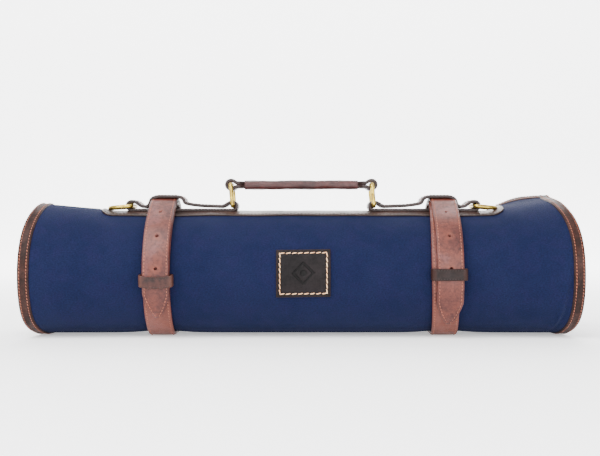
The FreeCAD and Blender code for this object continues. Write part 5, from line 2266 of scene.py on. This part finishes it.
@dataclass
class Studio:
    """A pale floor that sweeps up behind, soft lights and the camera.

    The camera's tilt is in degrees and the lens in millimetres; the lights' powers are in watts.
    """

    distance: float = 950 * MM
    eye_height: float = 110 * MM
    lens: float = 58.15
    tilt: float = 0.457
    side: float = -0.9 * MM
    floor_half: float = 3.0
    flat: float = 1.6
    sweep: float = 1.2
    wall: float = 1.6
    fill: float = 1.15
    key: float = 66.0
    front: float = 26.0

    def build(self) -> None:
        """Builds the floor, the lights, the sky and the camera."""
        self.build_floor()
        self.light("key_light", (-0.7, -0.9, 1.5), (0.0, 0.0, 0.06), 1.4, self.key)
        self.light("front_light", (0.5, -1.7, 0.55), (0.0, 0.0, 0.06), 1.3, self.front)
        self.light("back_light", (0.3, 1.4, 1.5), (0.0, 0.0, 0.05), 1.6, self.key * 0.7)
        world = bpy.data.worlds.new("studio")
        world.use_nodes = True
        world.node_tree.nodes["Background"].inputs[0].default_value = (1.0, 1.0, 1.0, 1.0)
        world.node_tree.nodes["Background"].inputs[1].default_value = self.fill
        bpy.context.scene.world = world
        self.build_camera()

    def build_floor(self) -> None:
        """A floor whose back curves up into a wall."""
        t = np.linspace(0, math.pi / 2, 24)
        y = np.concatenate([[-self.floor_half, 0.0], self.flat + self.sweep * np.sin(t),
                            [self.flat + self.sweep]])
        z = np.concatenate([[0.0, 0.0], self.sweep * (1 - np.cos(t)), [self.sweep + self.wall]])
        left = np.stack([np.full(len(y), -self.floor_half), y, z - 0.2 * MM], -1)
        right = left * np.array([-1, 1, 1])
        count = len(y)
        faces = [(k, k + count, k + count + 1, k + 1) for k in range(count - 1)]
        floor = new_mesh("studio_floor", np.concatenate([left, right]), faces)
        floor.data.materials.append(FloorFinish().material())

    def light(self, name: str, where: Sequence[float], aim: Sequence[float], size: float,
              power: float) -> None:
        """A square soft light.

        Args:
            name: Its name.
            where: Its place.
            aim: What it points at.
            size: The length of its side.
            power: Its power in watts.
        """
        data = bpy.data.lights.new(name, "AREA")
        data.shape = "SQUARE"
        data.size = size
        data.energy = power
        lamp = bpy.data.objects.new(name, data)
        lamp.location = where
        lamp.rotation_euler = (Vector(aim) - Vector(where)).to_track_quat("-Z", "Y").to_euler()
        bpy.context.scene.collection.objects.link(lamp)

    def build_camera(self) -> None:
        """A camera level with the handle, looking along +Y."""
        data = bpy.data.cameras.new("camera")
        data.lens = self.lens
        data.sensor_width = 36.0
        data.clip_start = 0.02
        data.clip_end = 20.0
        camera = bpy.data.objects.new("camera", data)
        camera.location = (self.side, 2.6 * MM - self.distance, self.eye_height)
        camera.rotation_euler = (math.radians(90 - self.tilt), 0.0, 0.0)
        bpy.context.scene.collection.objects.link(camera)
        bpy.context.scene.camera = camera


@dataclass(frozen=True)
class StrapSet:
    """How one strap and its keeper sit on the roll."""

    hand: Hand
    tip: float
    lean: float
    keeper: float
    droop: float
    shift: float
    keeper_half: float


STRAP_SETS = (
    StrapSet(Hand.LEFT, tip=217.0, lean=-0.3 * MM, keeper=184.0, droop=2.0 * MM, shift=0.0,
             keeper_half=15.8 * MM),
    StrapSet(Hand.RIGHT, tip=224.0, lean=4.6 * MM, keeper=179.0, droop=0.3 * MM, shift=1.4 * MM,
             keeper_half=16.7 * MM),
)


def main() -> None:
    """Builds every sub-assembly in order."""
    logging.basicConfig(level=logging.INFO, format="%(name)s: %(message)s")
    shape = RollShape()
    wardrobe = Wardrobe()
    stitches = StitchTree()
    Studio().build()
    Hardware(wardrobe).dress()
    RolledSheet(shape, wardrobe).build()
    Bindings(shape, wardrobe, stitches).build()
    TopBand(shape, wardrobe, stitches).build()
    MakerPatch(shape, wardrobe, stitches).build()
    for one in STRAP_SETS:
        ClosingStrap(one.hand, shape, wardrobe, stitches, one.tip, one.lean).build()
        Keeper(one.hand, shape, wardrobe, stitches, one.keeper, one.droop, one.shift, one.keeper_half).build()
        AnchorTab(one.hand, shape, wardrobe, stitches).build()
    CarryHandle(wardrobe, stitches).build()


if __name__ == "__main__":
    main()
